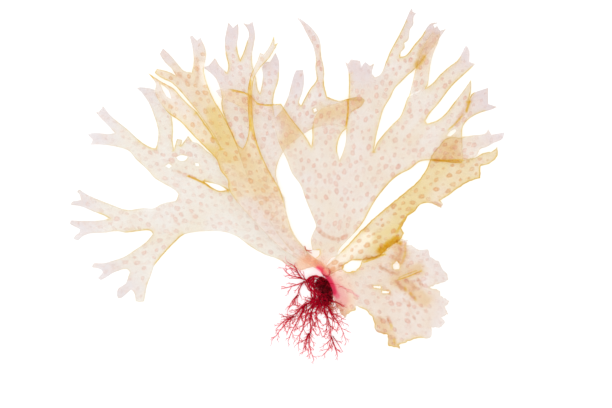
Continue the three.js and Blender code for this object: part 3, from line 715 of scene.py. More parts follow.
class Membrane:
    """A frond's middle surface with what each point knows; thicken() makes the solid."""

    def __init__(self, node, outlines, covers, strokes, seed, from_above=True, root=(), young=1.0):
        rng = np.random.default_rng(seed)
        tree = frame_tree(node)
        crisp = [stroke for kind in ("stain", "crease", "gold", "crimson") for stroke in strokes[kind]]
        points, faces = np.empty((0, 2)), np.empty((0, 3), int)
        heights, covered = np.empty(0), np.empty(0)
        for index, (rings, over) in enumerate(zip(outlines, covers)):
            new_points, new_faces = net_over(rings, crisp, [ring for cover in over for ring in cover], rng)
            faces = np.concatenate([faces, new_faces + len(points)])
            points = np.concatenate([points, new_points])
            heights = np.concatenate([heights, heights_on(tree, new_points, from_above or index > 0)])
            hidden = [within(new_points, cover) for cover in over] or [np.zeros(len(new_points))]
            covered = np.concatenate([covered, np.max(hidden, axis=0)])
        points, faces, heights, covered = self.welded(points, faces, heights, covered, root)
        self.points, self.faces = points, faces
        self.pairs = neighbours_of(faces)
        ripple = [noise.noise(Vector((x * RIPPLES_PER_MM, y * RIPPLES_PER_MM, seed))) for x, y in points]
        z = settled(heights, self.pairs, SETTLING) + RIPPLE * np.array(ripple)
        self.z = np.maximum(z, FILM_MARGIN / 2 + CLEARANCE)
        free = np.concatenate([segments_of(rings) for rings in outlines])
        if root:
            free = free[distance_to(free.mean(axis=1), chain(root)) >= 0.02]
        self.margin = distance_to(points, free)
        out = np.hypot(points[:, 0], points[:, 1])
        self.reach = shortest(points, self.pairs, np.nonzero(out < max(FOOT_ROOM, out.min() + 1.0))[0])
        self.reach[np.isinf(self.reach)] = 0
        self.grow = growth_direction(points, self.pairs, self.reach)
        self.facts = self.told(strokes, covered, young)
        self.z += CREASE_RISE * self.facts["crease"]

    @staticmethod
    def welded(points, faces, heights, covered, root):
        """The regions joined where they share points, if there is a root."""
        if not root:
            return points, faces, heights, covered
        keys = {}
        index = np.array([keys.setdefault(tuple(p), len(keys)) for p in np.round(points, 3).tolist()])
        first = np.array([np.nonzero(index == k)[0][0] for k in range(len(keys))])
        return points[first], index[faces], heights[first], covered[first]

    def told(self, strokes, covered, young):
        """The facts that the material asks for, from 0 to 1 at each point."""
        touch = {kind: along_strokes(self.points, drawn) for kind, drawn in strokes.items()}
        rim = 1 - eased(self.margin, *RIM_REACH)
        from_wedge = distance_to(self.points, chain(WEDGE))
        return {
            "rim": rim,
            "gold": np.maximum(rim * touch["gilt"], touch["gold"]),
            "rosy": np.maximum(young * (1 - eased(self.ways_to_tips(), *ROSY_REACH)), touch["pale"]),
            "stain": touch["stain"],
            "crease": touch["crease"],
            "clear": touch["clear"],
            "covered": covered,
            "dye": touch["dye"],
            "blush": np.maximum(1 - eased(from_wedge, *BLUSH_REACH), touch["blush"]),
            "core": np.maximum(1 - eased(from_wedge, *CORE_REACH), touch["crimson"]),
        }

    def ways_to_tips(self):
        """The way to the nearest tip: a far point that nothing near it is further out than."""
        best = np.full(len(self.points), -1.0)
        np.maximum.at(best, self.pairs[:, 0], self.reach[self.pairs[:, 1]])
        tips = []
        for i in np.nonzero((self.reach > best) & (self.reach > YOUNG_REACH))[0]:
            around = self.reach[np.linalg.norm(self.points - self.points[i], axis=1) < TIP_ROOM]
            if around.max() < self.reach[i] + 0.3:
                tips.append(i)
        return shortest(self.points, self.pairs, tips) if tips else np.full(len(self.points), NO_TIP)

    def thicken(self, name, material):
        """The solid: the surface raised and lowered by half its thickness, with walls at its edges."""
        half = np.interp(self.facts["rim"], [0, 1], [FILM / 2, FILM_MARGIN / 2])
        count = len(self.points)
        xy = self.points
        vertices = np.concatenate([np.column_stack([xy, z]) for z in (self.z + half, self.z - half)])
        a, b, c = xy[self.faces[:, 0]], xy[self.faces[:, 1]], xy[self.faces[:, 2]]
        turn = (b - a)[:, 0] * (c - a)[:, 1] - (b - a)[:, 1] * (c - a)[:, 0]
        up = np.where(turn[:, None] > 0, self.faces, self.faces[:, ::-1])
        sides = {(int(f[k]), int(f[(k + 1) % 3])) for f in up for k in range(3)}
        faces = up.tolist() + (up[:, ::-1] + count).tolist()
        faces += [(j, i, i + count, j + count) for i, j in sorted(sides) if (j, i) not in sides]
        facts = {key: np.tile(values, 2) for key, values in self.facts.items()}
        return mesh_object(name, vertices, faces, material, facts)


# %% [markdown]
# ## The membrane's material
# A wet membrane is nearly clear: most of the light goes straight through and takes a tint
# with it, a little is scattered inside, and its skin shines at low angles. So each face mixes
# a tinted see-through shader with a small share of a glossy, softly coloured one, and that
# share grows at low angles and where the membrane is thick. The tint is built up from the
# pale ground, the rosy tips, ochre stains and margins, brown creases and the crimson blush
# at the foot, broken up by noise so that no part is flat. Many layers would turn the paper
# grey, so a membrane that another one covers is nearly clear there, but for its golden dye.

# %% Membrane material
FACE_BODY = 0.1  # the share of light that one face of a membrane scatters
FACTS = ("rim", "rosy", "stain", "crease", "gold", "clear", "covered", "dye", "blush", "core")
TAWNY_FLECKS = (244, 219, 206)
ROSY_DOTS = (238, 200, 184)
CREASE_BROWN = (216, 146, 106)
OCHRE_GOLD = (224, 160, 12)
NEARLY_CLEAR = (0.995, 0.98, 0.965)
CLEAREST = (0.995, 0.985, 0.975)
GOLDEN_DYE = (0.91, 0.68, 0.36)
SALMON_BLUSH = (0.925, 0.655, 0.49)
PLAIN_ROSY = (240, 230, 228)
PLAIN_CORE = (0.96, 0.3, 0.44)


def membrane_material(name, pale, warm, rim, rim_strength, warmth, rosy=PLAIN_ROSY, core=PLAIN_CORE):
    graph = Graph(name)
    grain = graph.mottle(1100.0, 2.0)
    fact = {key: graph.attribute(key) for key in FACTS}
    patchy = graph.above(graph.mottle(60.0, 4.0), 0.35, 2.4)
    flecks = graph.above(graph.mottle(330.0, 3.0), 0.42, 3.0)
    broken = graph.plus(graph.above(grain, 0.42, 5.0), 0.35)
    old = graph.besides(fact["rosy"])
    # the ground, from the rosy tips to the warm old parts
    tint = graph.blend(fact["rosy"], through(pale), through(rosy))
    tint = graph.blend(graph.times(flecks, 0.35), tint, through(TAWNY_FLECKS))
    tint = graph.blend(graph.times(graph.above(grain, 0.56, 5.0), 0.5), tint, through(ROSY_DOTS))
    tint = graph.blend(graph.times(graph.times(patchy, warmth * 2), old), tint, through(warm))
    stain = graph.times(fact["stain"], graph.plus(graph.times(flecks, 0.4), 0.75))
    tint = graph.blend(stain, tint, through(warm))
    # where it is very thin, or lies under another
    tint = graph.blend(fact["clear"], tint, pane(*NEARLY_CLEAR))
    uneven = graph.plus(graph.times(flecks, 0.5), graph.times(broken, 0.55))
    dye = graph.times(fact["dye"], graph.plus(uneven, 0.2))
    tint = graph.blend(fact["covered"], tint, graph.blend(dye, pane(*CLEAREST), pane(*GOLDEN_DYE)))
    # the margin, which shows less where it is covered
    edge = graph.times(fact["rim"], graph.plus(graph.times(old, 0.75), 0.12))
    edge = graph.times(edge, graph.plus(patchy, flecks, clamp=False))
    shown = graph.besides(graph.larger(fact["clear"], graph.times(fact["covered"], 0.5)))
    edge = graph.times(graph.times(edge, rim_strength * 1.5), shown)
    tint = graph.blend(edge, tint, through(rim))
    # creases, gold and the foot
    tint = graph.blend(graph.times(fact["crease"], broken), tint, through(CREASE_BROWN))
    gold = graph.times(fact["gold"], graph.plus(graph.times(broken, 0.5), 0.5))
    tint = graph.blend(gold, tint, through(OCHRE_GOLD))
    tint = graph.blend(graph.times(fact["blush"], 0.85), tint, pane(*SALMON_BLUSH))
    tint = graph.blend(graph.times(fact["core"], 0.95), tint, pane(*core))
    # the flesh, and how much of it there is
    flesh_colour = graph.add("ShaderNodeGamma", Color=tint, Gamma=3.0).outputs[0]
    normal = graph.bump(grain, 0.3, 0.0002)
    flesh = graph.add("ShaderNodeBsdfPrincipled", Base_Color=flesh_colour, Roughness=0.4, Normal=normal)
    flesh.inputs["Coat Weight"].default_value = 0.2
    flesh.inputs["Coat Roughness"].default_value = 0.2
    facing = graph.add("ShaderNodeLayerWeight", Blend=0.25, Normal=normal).outputs["Facing"]
    body = graph.plus(graph.times(facing, 0.1), FACE_BODY)
    kept = graph.besides(graph.larger(fact["clear"], fact["covered"]))
    body = graph.times(body, graph.plus(graph.times(kept, 0.75), 0.25))
    body = graph.plus(body, graph.times(edge, 0.2))
    body = graph.times(body, graph.besides(graph.times(fact["core"], 0.85)))
    return graph.finish_clear(tint, flesh, body)


# %% Spot material
def spot_material(name, colour):
    graph = Graph(name)
    uneven = graph.plus(graph.times(graph.mottle(420.0), 0.8), 0.5, clamp=False)
    depth = graph.times(graph.attribute("ring"), uneven)
    tint = graph.blend(depth, WHITE, colour)
    flesh_colour = graph.add("ShaderNodeGamma", Color=tint, Gamma=4.0).outputs[0]
    flesh = graph.add("ShaderNodeBsdfPrincipled", Base_Color=flesh_colour, Roughness=0.4)
    return graph.finish_clear(tint, flesh, graph.times(depth, 0.1))


# %% [markdown]
# ## The spots
# The spots are small fertile patches in the membrane: ovals about two millimetres long that
# lie along the growth, about three millimetres apart, with a darker ring and a paler middle.
# A texture could paint them, but they really are slightly thicker, so each is a low lens that
# stands a hair out of both faces. They are thrown down one by one, and a throw that lands too
# near another or too near the margin is thrown again.

# %% One spot
SPOT_LENGTH = 2.7
SPOT_WIDTH = 1.95
SPOT_RISE = 0.1
SPOT_SIDES = 10
SPOT_LUMPS = 0.5
SPOT_MIDDLE = 0.35  # how strong the tint is in the middle
SPOT_RINGS = ((0.6, SPOT_RISE, 1.0), (0.6, -SPOT_RISE, 1.0), (1.0, 0.0, 0.2))  # share of the size, rise, tint


def toward(heading):
    """The unit step in a direction on the plan."""
    return np.array([math.cos(heading), math.sin(heading)])


def add_lens(film, tree, vertices, faces, rings, spot, size, strength, turn):
    """One spot: a middle and a ring on each face, and a common rim inside the membrane."""
    first = len(vertices)
    ahead = toward(turn)
    aside = np.array([-ahead[1], ahead[0]])
    near = tree.find_n((spot[0], spot[1], 0), 3)
    weights = [1 / (d + 0.05) for _, _, d in near]
    level = sum(w * film.z[i] for w, (_, i, _) in zip(weights, near)) / sum(weights)
    turns = [2 * math.pi * k / SPOT_SIDES for k in range(SPOT_SIDES)]
    lumps = [
        1 + SPOT_LUMPS * noise.noise(Vector((*spot, 1.3 * math.cos(a) + 2.6 * math.sin(a)))) for a in turns
    ]
    vertices.extend((*spot, level + side * 0.9 * SPOT_RISE) for side in (1, -1))
    rings.extend([SPOT_MIDDLE * strength] * 2)
    for share, rise, depth in SPOT_RINGS:
        for lump, a in zip(lumps, turns):
            along = share * lump * size * SPOT_LENGTH / 2 * math.cos(a)
            across = share * lump * size * SPOT_WIDTH / 2 * math.sin(a)
            vertices.append((*(spot + along * ahead + across * aside), level + rise))
            rings.append(depth * strength)
    top, low, rim = (first + 2 + k * SPOT_SIDES for k in range(3))
    for k in range(SPOT_SIDES):
        n = (k + 1) % SPOT_SIDES
        faces.extend([(first, top + k, top + n), (first + 1, low + n, low + k)])
        faces.extend([(top + k, rim + k, rim + n), (top + k, rim + n, top + n)])
        faces.extend([(low + n, rim + n, rim + k), (low + n, rim + k, low + k)])


# %% Spots on one membrane
SPOT_GAP = 2.9
GAP_RANGE = (0.72, 1.25)
SIZE_RANGE = (0.5, 1.15)
STRENGTH_RANGE = (0.3, 1.3)
SPOT_MARGIN = 1.0
TRIES_PER_GAP = 14


def spots_on(film, name, material, seed, depth=1.0):
    rng = random.Random(seed)
    corner = film.points[film.faces]
    totals = np.cumsum(0.5 * abs(np.cross(corner[:, 1] - corner[:, 0], corner[:, 2] - corner[:, 0])))
    tree = kdtree.KDTree(len(film.points))
    for i, (x, y) in enumerate(film.points):
        tree.insert((x, y, 0), i)
    tree.balance()
    taken = {}
    vertices, faces, rings = [], [], []
    for _ in range(int(totals[-1] / SPOT_GAP ** 2 * TRIES_PER_GAP)):
        face = film.faces[min(int(np.searchsorted(totals, rng.random() * totals[-1])), len(film.faces) - 1)]
        u, v = sorted((rng.random(), rng.random()))
        shares = np.array([u, v - u, 1 - v])
        spot = shares @ film.points[face]
        near = int(face[int(shares.argmax())])
        rosy = film.facts["rosy"][near]
        cell = (int(spot[0] // SPOT_GAP), int(spot[1] // SPOT_GAP))
        cells = [(cell[0] + i, cell[1] + j) for i in (-1, 0, 1) for j in (-1, 0, 1)]
        own_gap = SPOT_GAP * rng.uniform(*GAP_RANGE)
        if any(math.dist(p, spot) < own_gap for c in cells for p in taken.get(c, ())):
            continue
        if film.margin[face] @ shares < SPOT_MARGIN:
            continue
        if film.facts["core"][near] > 0.05 or film.facts["clear"][near] > 0.85:
            continue
        if rng.random() < 0.5 * rosy:
            continue
        taken.setdefault(cell, []).append(tuple(spot))
        size = rng.uniform(*SIZE_RANGE) * (1 - 0.25 * rosy)
        strength = depth * rng.uniform(*STRENGTH_RANGE) * (1 - 0.6 * rosy)
        turn = math.atan2(film.grow[near][1], film.grow[near][0]) + rng.gauss(0, 0.3)
        add_lens(film, tree, vertices, faces, rings, spot, size, strength, turn)
    print(name, "spots:", len(rings) // (2 + 3 * SPOT_SIDES), "triangles:", len(faces))
    return mesh_object(name, vertices, faces, material, {"ring": rings})


# %% [markdown]
# ## The fronds, one by one
# Every frond has its own tone: the left one is palest, the front and right ones are stained
# yellow with strong ochre margins. Stains, creases and the rest are strokes of a brush, placed
# where age, folds and the layers beneath have coloured the membrane. Each stroke is
# written as the grid places along it, half its width in grid steps, and its strength.

# %% Stains
STAINS = {
    "left": [
        ([(176, 166), (196, 172), (226, 190)], 9, 0.4), ([(150, 240), (176, 237), (200, 222)], 9, 0.4),
        ([(136, 166), (168, 192)], 4, 0.4), ([(148, 283), (176, 240)], 2.5, 0.4),
    ],
    "right": [
        ([(374, 244), (392, 226), (410, 200)], 9, 0.45), ([(404, 205), (424, 186), (440, 168)], 12, 0.4),
        ([(376, 250), (386, 247), (397, 241)], 7, 0.45), ([(380, 236), (398, 226)], 7, 0.7),
    ],
    "low_right": [
        ([(396, 243), (402, 254), (396, 264)], 9, 0.9), ([(397, 280), (410, 288), (424, 300)], 10, 0.8),
        ([(352, 274), (380, 262)], 5, 0.25), ([(380, 322), (390, 336), (392, 346)], 8, 0.7),
        ([(400, 276), (418, 270)], 10, 0.75), ([(348, 300), (350, 310)], 6, 0.4),
    ],
    "back": [
        ([(226, 112), (248, 120)], 10, 0.3), ([(322, 108), (342, 114)], 9, 0.55),
        ([(350, 101), (362, 101)], 6, 0.9), ([(238, 98), (244, 110)], 7, 0.3),
    ],
    "middle": [
        ([(434, 158), (462, 158)], 4.5, 0.8), ([(450, 141), (450, 156)], 12, 0.85),
        ([(284, 110), (296, 128), (288, 142)], 10, 0.75), ([(322, 114), (342, 112)], 8, 0.5),
        ([(228, 97), (250, 106)], 9, 0.5), ([(376, 205), (392, 186), (425, 164)], 5, 0.4),
        ([(428, 92), (440, 80)], 3, 0.3), ([(312, 247), (336, 247)], 8, 0.35),
        ([(412, 140), (428, 118)], 10, 0.35),
    ],
    "front": [
        ([(212, 112), (219, 128), (227, 142)], 9, 0.8), ([(220, 120), (232, 144)], 8, 0.7),
        ([(208, 150), (222, 156), (234, 158)], 9, 0.75), ([(240, 160), (258, 184)], 17, 0.3),
        ([(220, 166), (228, 184)], 4, 0.6), ([(248, 92), (250, 128)], 5, 0.5),
    ],
}

# %% Creases: fold lines, thicker and browner than the rest
CREASES = {
    "left": [
        ([(176, 171), (186, 174), (196, 178)], 1.6, 0.35), ([(304, 245), (308, 250), (311, 254)], 3.0, 0.8),
        ([(303, 269), (309, 266.8), (317, 267.5)], 2.2, 0.8), ([(302, 263), (308, 262)], 5, 0.4),
    ],
    "right": [
        ([(350, 262), (366, 260.5), (382, 255)], 1.8, 1.0), ([(430, 203), (436, 203), (441, 206)], 2.0, 0.5),
        ([(340, 266), (352, 262)], 1.5, 0.6),
    ],
    "low_right": [
        ([(380, 267), (388, 271), (397, 273)], 2.6, 0.7), ([(403, 298), (409, 308), (415, 320)], 1.2, 0.25),
        ([(398, 243), (401, 252), (398, 260)], 2.4, 0.7), ([(388, 317), (389, 321)], 2.2, 1.0),
        ([(407, 265), (408, 267)], 2.2, 0.8), ([(330, 304), (338, 308), (343, 312)], 7, 0.7),
        ([(401, 287), (404, 290)], 3, 0.6), ([(410, 293), (414, 298)], 2.6, 0.5),
        ([(405, 280), (409, 283)], 2.8, 0.6), ([(418, 280), (422, 285)], 2.4, 0.7),
        ([(396, 281), (398, 284)], 2.4, 0.7), ([(388, 291), (390, 294)], 2.2, 0.8),
        ([(412, 284), (414, 288)], 2.4, 0.6), ([(408, 302), (410, 305)], 2.0, 0.5),
        ([(392, 256), (396, 259)], 3, 0.7), ([(376, 331), (384, 334), (392, 338)], 2, 0.6),
        ([(380, 318), (382, 321)], 2.2, 0.4),
    ],
    "back": [([(303, 24), (316, 44), (320, 64), (320, 92)], 3.6, 0.15)],
    "middle": [
        ([(320, 232), (326, 236), (333, 239), (341, 239), (347, 235)], 2.6, 0.5),
        ([(419, 68), (425, 54), (434, 36)], 9, 0.2), ([(456, 124), (464, 112), (470, 100)], 4, 0.3),
    ],
    "front": [
        ([(148, 73), (158, 80), (174, 89)], 1.4, 0.8), ([(196, 58), (199, 72), (196, 84)], 2.4, 0.4),
        ([(172, 72), (180, 76), (188, 82)], 2.4, 0.4),
    ],
}

# %% Gilt: where the margin has an ochre line
GILT = {
    "left": [
        ([(186, 174), (204, 181.5), (214, 188), (228, 191)], 4, 1.0), ([(140, 142), (156, 149)], 5, 0.5),
        ([(172, 120), (175, 150), (190, 140)], 4, 0.4), ([(158, 262), (168, 249), (181, 236)], 5, 0.9),
        ([(128, 233), (140, 231), (153, 231)], 4, 0.6), ([(112, 219), (100, 213)], 4, 0.5),
    ],
    "right": [
        ([(344, 249), (370, 222), (403, 194), (427, 168), (432, 155), (447, 138)], 5, 1.0),
        ([(383, 252), (400, 240), (404, 233), (401, 226), (414, 211)], 5, 0.9),
        ([(344, 266), (383, 254)], 5, 1.0), ([(447, 196), (480, 178), (480, 166), (497, 155)], 5, 0.6),
    ],
    "low_right": [
        ([(345, 266), (348, 272), (357, 270), (362, 262)], 5, 1.0), ([(364, 257), (392, 247)], 5, 0.8),
        ([(350, 312), (364, 309), (374, 322), (388, 335)], 5, 0.6),
        ([(388, 346), (406, 342), (420, 338)], 5, 0.7), ([(392, 265), (400, 263), (399, 269)], 5, 0.5),
        ([(373, 286), (390, 292)], 4, 0.4),
    ],
    "back": [
        ([(226, 55), (228, 70), (222, 97), (226, 121), (240, 154)], 4, 0.7),
        ([(238, 50), (240, 61), (246, 44)], 5, 0.8), ([(253, 60), (258, 94)], 4, 0.4),
        ([(279, 76), (274, 94), (273, 108)], 4, 0.5), ([(301, 106), (310, 89), (316, 80)], 4, 0.5),
        ([(324, 84), (327, 97), (350, 98), (364, 101), (354, 111)], 5, 0.9),
    ],
    "middle": [
        ([(232, 91), (250, 95), (258, 103), (281, 104), (297, 126), (312, 149), (312, 128)], 4, 1.0),
        ([(337, 150), (338.5, 140), (346, 129)], 4, 0.9), ([(349, 76), (349, 100), (347, 112)], 4, 1.0),
        ([(358, 230), (376, 199), (400, 174), (420, 162), (456, 163)], 5, 1.0),
        ([(387, 60), (405, 23)], 4, 0.6), ([(400, 57), (405, 56), (424, 34)], 4, 0.8),
        ([(376, 145), (393, 124), (409, 96)], 5, 0.6),
        ([(430, 113), (425, 121), (438, 120), (455, 104)], 5, 0.9),
        ([(425, 57), (400, 83), (384, 108), (373, 150)], 4, 0.5),
        ([(426, 88), (440, 76), (458, 60)], 5, 0.6), ([(470, 68), (451, 87), (430, 113)], 4, 0.7),
        ([(461, 137), (463, 126), (482, 112)], 5, 0.6), ([(468, 102), (472, 94)], 4, 0.7),
        ([(315, 258), (319.5, 254), (319.5, 250)], 4, 1.0),
    ],
    "front": [
        ([(254, 80), (252.5, 100), (254, 128), (263, 158), (283, 198)], 5, 1.0),
        ([(276, 38), (270, 57), (259, 70)], 5, 0.5),
        ([(252, 73), (248, 90), (249, 130), (243, 149), (231, 130), (213, 98)], 4, 0.9),
        ([(169, 113), (200, 142), (217, 160), (221, 171), (229, 189)], 5, 1.0),
        ([(148, 73), (174, 89), (202, 122), (221, 149)], 4, 0.7),
        ([(155, 72), (182, 93), (197, 112)], 4, 0.6), ([(204, 70), (206, 80), (213, 98)], 4, 0.5),
    ],
}

# %% Gold: ochre lines and blotches away from the margin
GOLD = {
    "left": [([(188, 176), (202, 182), (212, 188.5), (229, 190)], 1.2, 0.8)],
    "right": [
        ([(380, 251), (388, 245), (397, 238.5)], 5, 1.0), ([(398, 230), (402, 222), (412, 210)], 1.4, 0.5),
        ([(433, 160), (445, 161), (461, 162)], 1.6, 0.7),
    ],
    "low_right": [
        ([(397.5, 280), (408, 276.5), (421, 271)], 0.7, 0.9),
        ([(399, 277.5), (408, 273.5), (417, 270.5)], 0.6, 0.5),
        ([(405, 244), (405, 254), (402, 263)], 1.6, 0.35), ([(405, 288), (406, 290)], 1.6, 0.35),
        ([(410, 293), (412, 295)], 1.6, 0.35), ([(415, 298), (416, 301)], 1.4, 0.3),
        ([(391, 325), (392, 328)], 1.8, 0.35), ([(394, 340), (395, 344)], 2.0, 0.35),
        ([(393, 240), (400, 243)], 2.4, 0.8), ([(364, 262), (374, 258.5), (384, 254.5)], 1.2, 0.8),
        ([(345, 267), (348, 271.5), (355, 271)], 1.2, 0.7),
    ],
    "back": [([(349, 99), (356, 99.5), (362, 101)], 2.0, 0.6)],
    "middle": [
        ([(232, 91), (240, 92.5), (248, 94.5)], 0.9, 0.8),
        ([(258, 104), (264, 105), (271, 105.5)], 1.4, 0.8), ([(348, 98), (348, 112), (346, 127)], 1.3, 0.9),
        ([(470, 101), (468, 106), (466, 112)], 1.5, 0.8), ([(432, 160), (448, 160.5), (463, 160)], 1.6, 0.6),
        ([(462, 116), (455, 124), (448, 130)], 1.2, 0.5),
    ],
    "front": [
        ([(250.5, 80), (250, 92), (250.5, 112), (251, 130)], 1.4, 0.75),
        ([(252, 130), (256, 142), (262, 158)], 1.6, 0.6), ([(180, 90), (196, 112), (214, 138)], 0.9, 0.6),
    ],
}

# %% Clear: places where a membrane is so thin over or under another that it hardly shows
CLEAR = {
    "right": [([(332, 264), (350, 250), (366, 238)], 11, 0.5)],
    "low_right": [([(331, 272), (344, 266)], 8, 0.5)],
    "middle": [([(222, 93), (240, 98), (262, 108)], 9, 0.2)],
    "front": [([(156, 76), (176, 102), (204, 138)], 13, 0.15), ([(202, 66), (206, 82)], 6, 0.5)],
}

# %% Dye: how golden a membrane is where another lies over it
DYE = {
    "left": [([(186, 110), (204, 132), (222, 152)], 12, 0.5)],
    "right": [([(430, 156), (450, 150), (466, 146)], 22, 0.78)],
    "low_right": [([(372, 258), (392, 248)], 8, 0.6)],
    "back": [
        ([(280, 108), (292, 126), (288, 146)], 15, 0.7), ([(314, 118), (330, 110), (346, 108)], 16, 0.65),
        ([(346, 104), (364, 101)], 12, 1.0), ([(216, 100), (226, 130), (240, 156)], 14, 0.6),
        ([(232, 96), (252, 108)], 12, 0.5),
    ],
    "middle": [([(246, 96), (252, 112)], 10, 0.8)],
}

# %% Pale and blushing places, and crimson that the tuft has left on the membrane beside it
PALE = {
    "front": [
        ([(246, 208), (266, 233), (296, 256)], 18, 0.8), ([(158, 76), (178, 92), (198, 118)], 12, 0.5),
        ([(192, 40), (202, 72)], 10, 0.4), ([(270, 42), (256, 76)], 8, 0.5),
    ],
    "low_right": [
        ([(430, 250), (444, 266), (448, 284)], 14, 0.8), ([(446, 296), (446, 316), (436, 334)], 14, 0.8),
    ],
}
FOOT_BLUSH = [([(303, 265), (312, 262), (322, 266)], 12, 0.95)]
BLUSH = {
    "left": FOOT_BLUSH, "back": FOOT_BLUSH, "front": FOOT_BLUSH,
    "low_right": [([(334, 280), (342, 288), (344, 302)], 17, 0.55)],
}
CRIMSON = {
    "low_right": [
        ([(328, 278), (332.5, 286), (334.5, 293)], 3.8, 0.95), ([(334, 291), (338, 297)], 3.6, 0.5),
        ([(331, 284), (338, 292), (342, 300)], 10, 0.16),
        ([(330, 284), (340, 286), (350, 291), (358, 296)], 1.2, 0.15),
    ],
}
STROKES = {
    "stain": STAINS, "crease": CREASES, "gilt": GILT, "gold": GOLD, "clear": CLEAR, "dye": DYE, "pale": PALE,
    "blush": BLUSH, "crimson": CRIMSON,
}

# %% Each frond's node, regions and growth, what lies over it, and its tones
PLAN = {
    "left": ("frond_left", [LEFT], dict(seed=3)),
    "right": ("frond_right", [RIGHT], dict(seed=5, young=0.0)),
    "low_right": ("frond_low_right", [LOW_RIGHT], dict(seed=7, young=0.3)),
    "back": ("frond_back", [BACK], dict(seed=11)),
    "middle": ("frond_middle", [MIDDLE, CROSSING], dict(seed=13, from_above=False, root=CROSSING_ROOT)),
    "front": ("frond_front", [FRONT], dict(seed=17)),
}
FRAY = {"right": 0.3, "low_right": 0.6, "middle": 0.0}
LEAST_FRAY = 0.1
COVERS = {
    "left": ["back", "front"], "right": ["middle"], "low_right": ["right"], "back": ["middle", "front"],
    "middle": ["front"],
}
TONES = {
    "left": dict(pale=(250, 247, 242), warm=(246, 235, 212), rosy=(243, 236, 237), rim=(234, 192, 96),
                 rim_strength=0.32, warmth=0.22),
    "right": dict(pale=(250, 238, 218), warm=(243, 219, 146), rim=(232, 180, 50),
                  rim_strength=0.8, warmth=0.3),
    "low_right": dict(pale=(250, 242, 237), warm=(240, 206, 160), rosy=(245, 236, 234), rim=(234, 186, 90),
                      rim_strength=0.3, warmth=0.16, core=(0.72, 0.012, 0.06)),
    "back": dict(pale=(249, 243, 240), warm=(243, 222, 184), rosy=(240, 229, 231), rim=(234, 186, 90),
                 rim_strength=0.5, warmth=0.08),
    "middle": dict(pale=(249, 243, 238), warm=(244, 224, 187), rosy=(239, 227, 228), rim=(234, 186, 90),
                   rim_strength=0.36, warmth=0.24),
    "front": dict(pale=(249, 239, 226), warm=(240, 210, 128), rosy=(243, 233, 233), rim=(234, 178, 60),
                  rim_strength=0.6, warmth=0.22),
}
SLOTS = {"right": "yellow_membrane", "front": "yellow_membrane"}
SPOT_DEPTH = {"left": 0.65, "low_right": 0.85}

# %% Build the films and their spots
SPOT_SEED = 100
spot_tints = {
    "pale_membrane": spot_material("rosy_spots", (0.98, 0.9, 0.878, 1.0)),
    "yellow_membrane": spot_material("tawny_spots", (0.972, 0.868, 0.77, 1.0)),
}
outlines = {}
for key, (_, regions, choices) in PLAN.items():
    straight = [choices["root"]] if "root" in choices else ()
    fray = FRAY.get(key, LEAST_FRAY)
    outlines[key] = [rings_of(region, fray, choices["seed"], straight) for region in regions]
for number, (key, (node, regions, choices)) in enumerate(PLAN.items()):
    strokes = {kind: table.get(key, ()) for kind, table in STROKES.items()}
    covers = [[outlines[other][0] for other in COVERS.get(key, ())] + outlines[key][1:], []][:len(regions)]
    film = Membrane(node, outlines[key], covers, strokes, **choices)
    slot = SLOTS.get(key, "pale_membrane")
    piece = film.thicken(f"{key}_membrane", membrane_material(f"{key}_membrane", **TONES[key]))
    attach(piece, "root")
    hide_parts(node)
    spots = spots_on(film, f"{key}_spots", spot_tints[slot], SPOT_SEED + number, SPOT_DEPTH.get(key, 1.0))
    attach(spots, "root")
    foot = int(np.hypot(film.points[:, 0], film.points[:, 1]).argmin())
    print(key, "points:", len(film.points), "reach in mm:", round(float(film.reach.max()), 1),
          "height at the foot:", round(float(film.z[foot]), 2))

# %% [markdown]
# ## Threads
# The tuft is another small red alga that grows at the foot: threads thinner than a millimetre
# that fork over and over, so dense at the root that they make a dark knot. Each
# main thread follows a drawn line. Side threads are grown from it by a rule, to the
# left and right by turns, each with side threads of its own. A thread is a round tube that thins
# towards its end, and it is dark and red where it is old and pink where it is young.

# %% Tube mesh
THREAD_SIDES = 5


class Threads:
    """Gathers many thin tubes in one mesh."""

    def __init__(self):
        self.vertices, self.faces, self.age, self.brown = [], [], [], None

    def add(self, path, start_radius, end_radius, start_age, end_age):
        first = len(self.vertices)
        for i, point in enumerate(path):
            before, after = path[max(i - 1, 0)], path[min(i + 1, len(path) - 1)]
            ahead = (after - before).normalized()
            aside = ahead.cross(Vector((0, 0, 1)))
            aside = aside.normalized() if aside.length > 1e-4 else Vector((1, 0, 0))
            up = aside.cross(ahead)
            share = i / (len(path) - 1)
            radius = float(start_radius + (end_radius - start_radius) * share)
            for k in range(THREAD_SIDES):
                turn = 2 * math.pi * k / THREAD_SIDES
                place = point + (math.cos(turn) * aside + math.sin(turn) * up) * radius
                self.vertices.append((place.x, place.y, max(place.z, 0.0)))
                self.age.append(start_age + (end_age - start_age) * share)
        for i in range(len(path) - 1):
            for k in range(THREAD_SIDES):
                a, b = first + i * THREAD_SIDES + k, first + i * THREAD_SIDES + (k + 1) % THREAD_SIDES
                self.faces.append((a, b, b + THREAD_SIDES, a + THREAD_SIDES))
        last = first + (len(path) - 1) * THREAD_SIDES
        self.faces.append([first + k for k in reversed(range(THREAD_SIDES))])
        self.faces.append([last + k for k in range(THREAD_SIDES)])

    def piece(self, name, material):
        facts = {"age": self.age, "brown": self.brown or [0.0] * len(self.vertices)}
        return mesh_object(name, self.vertices, self.faces, material, facts)


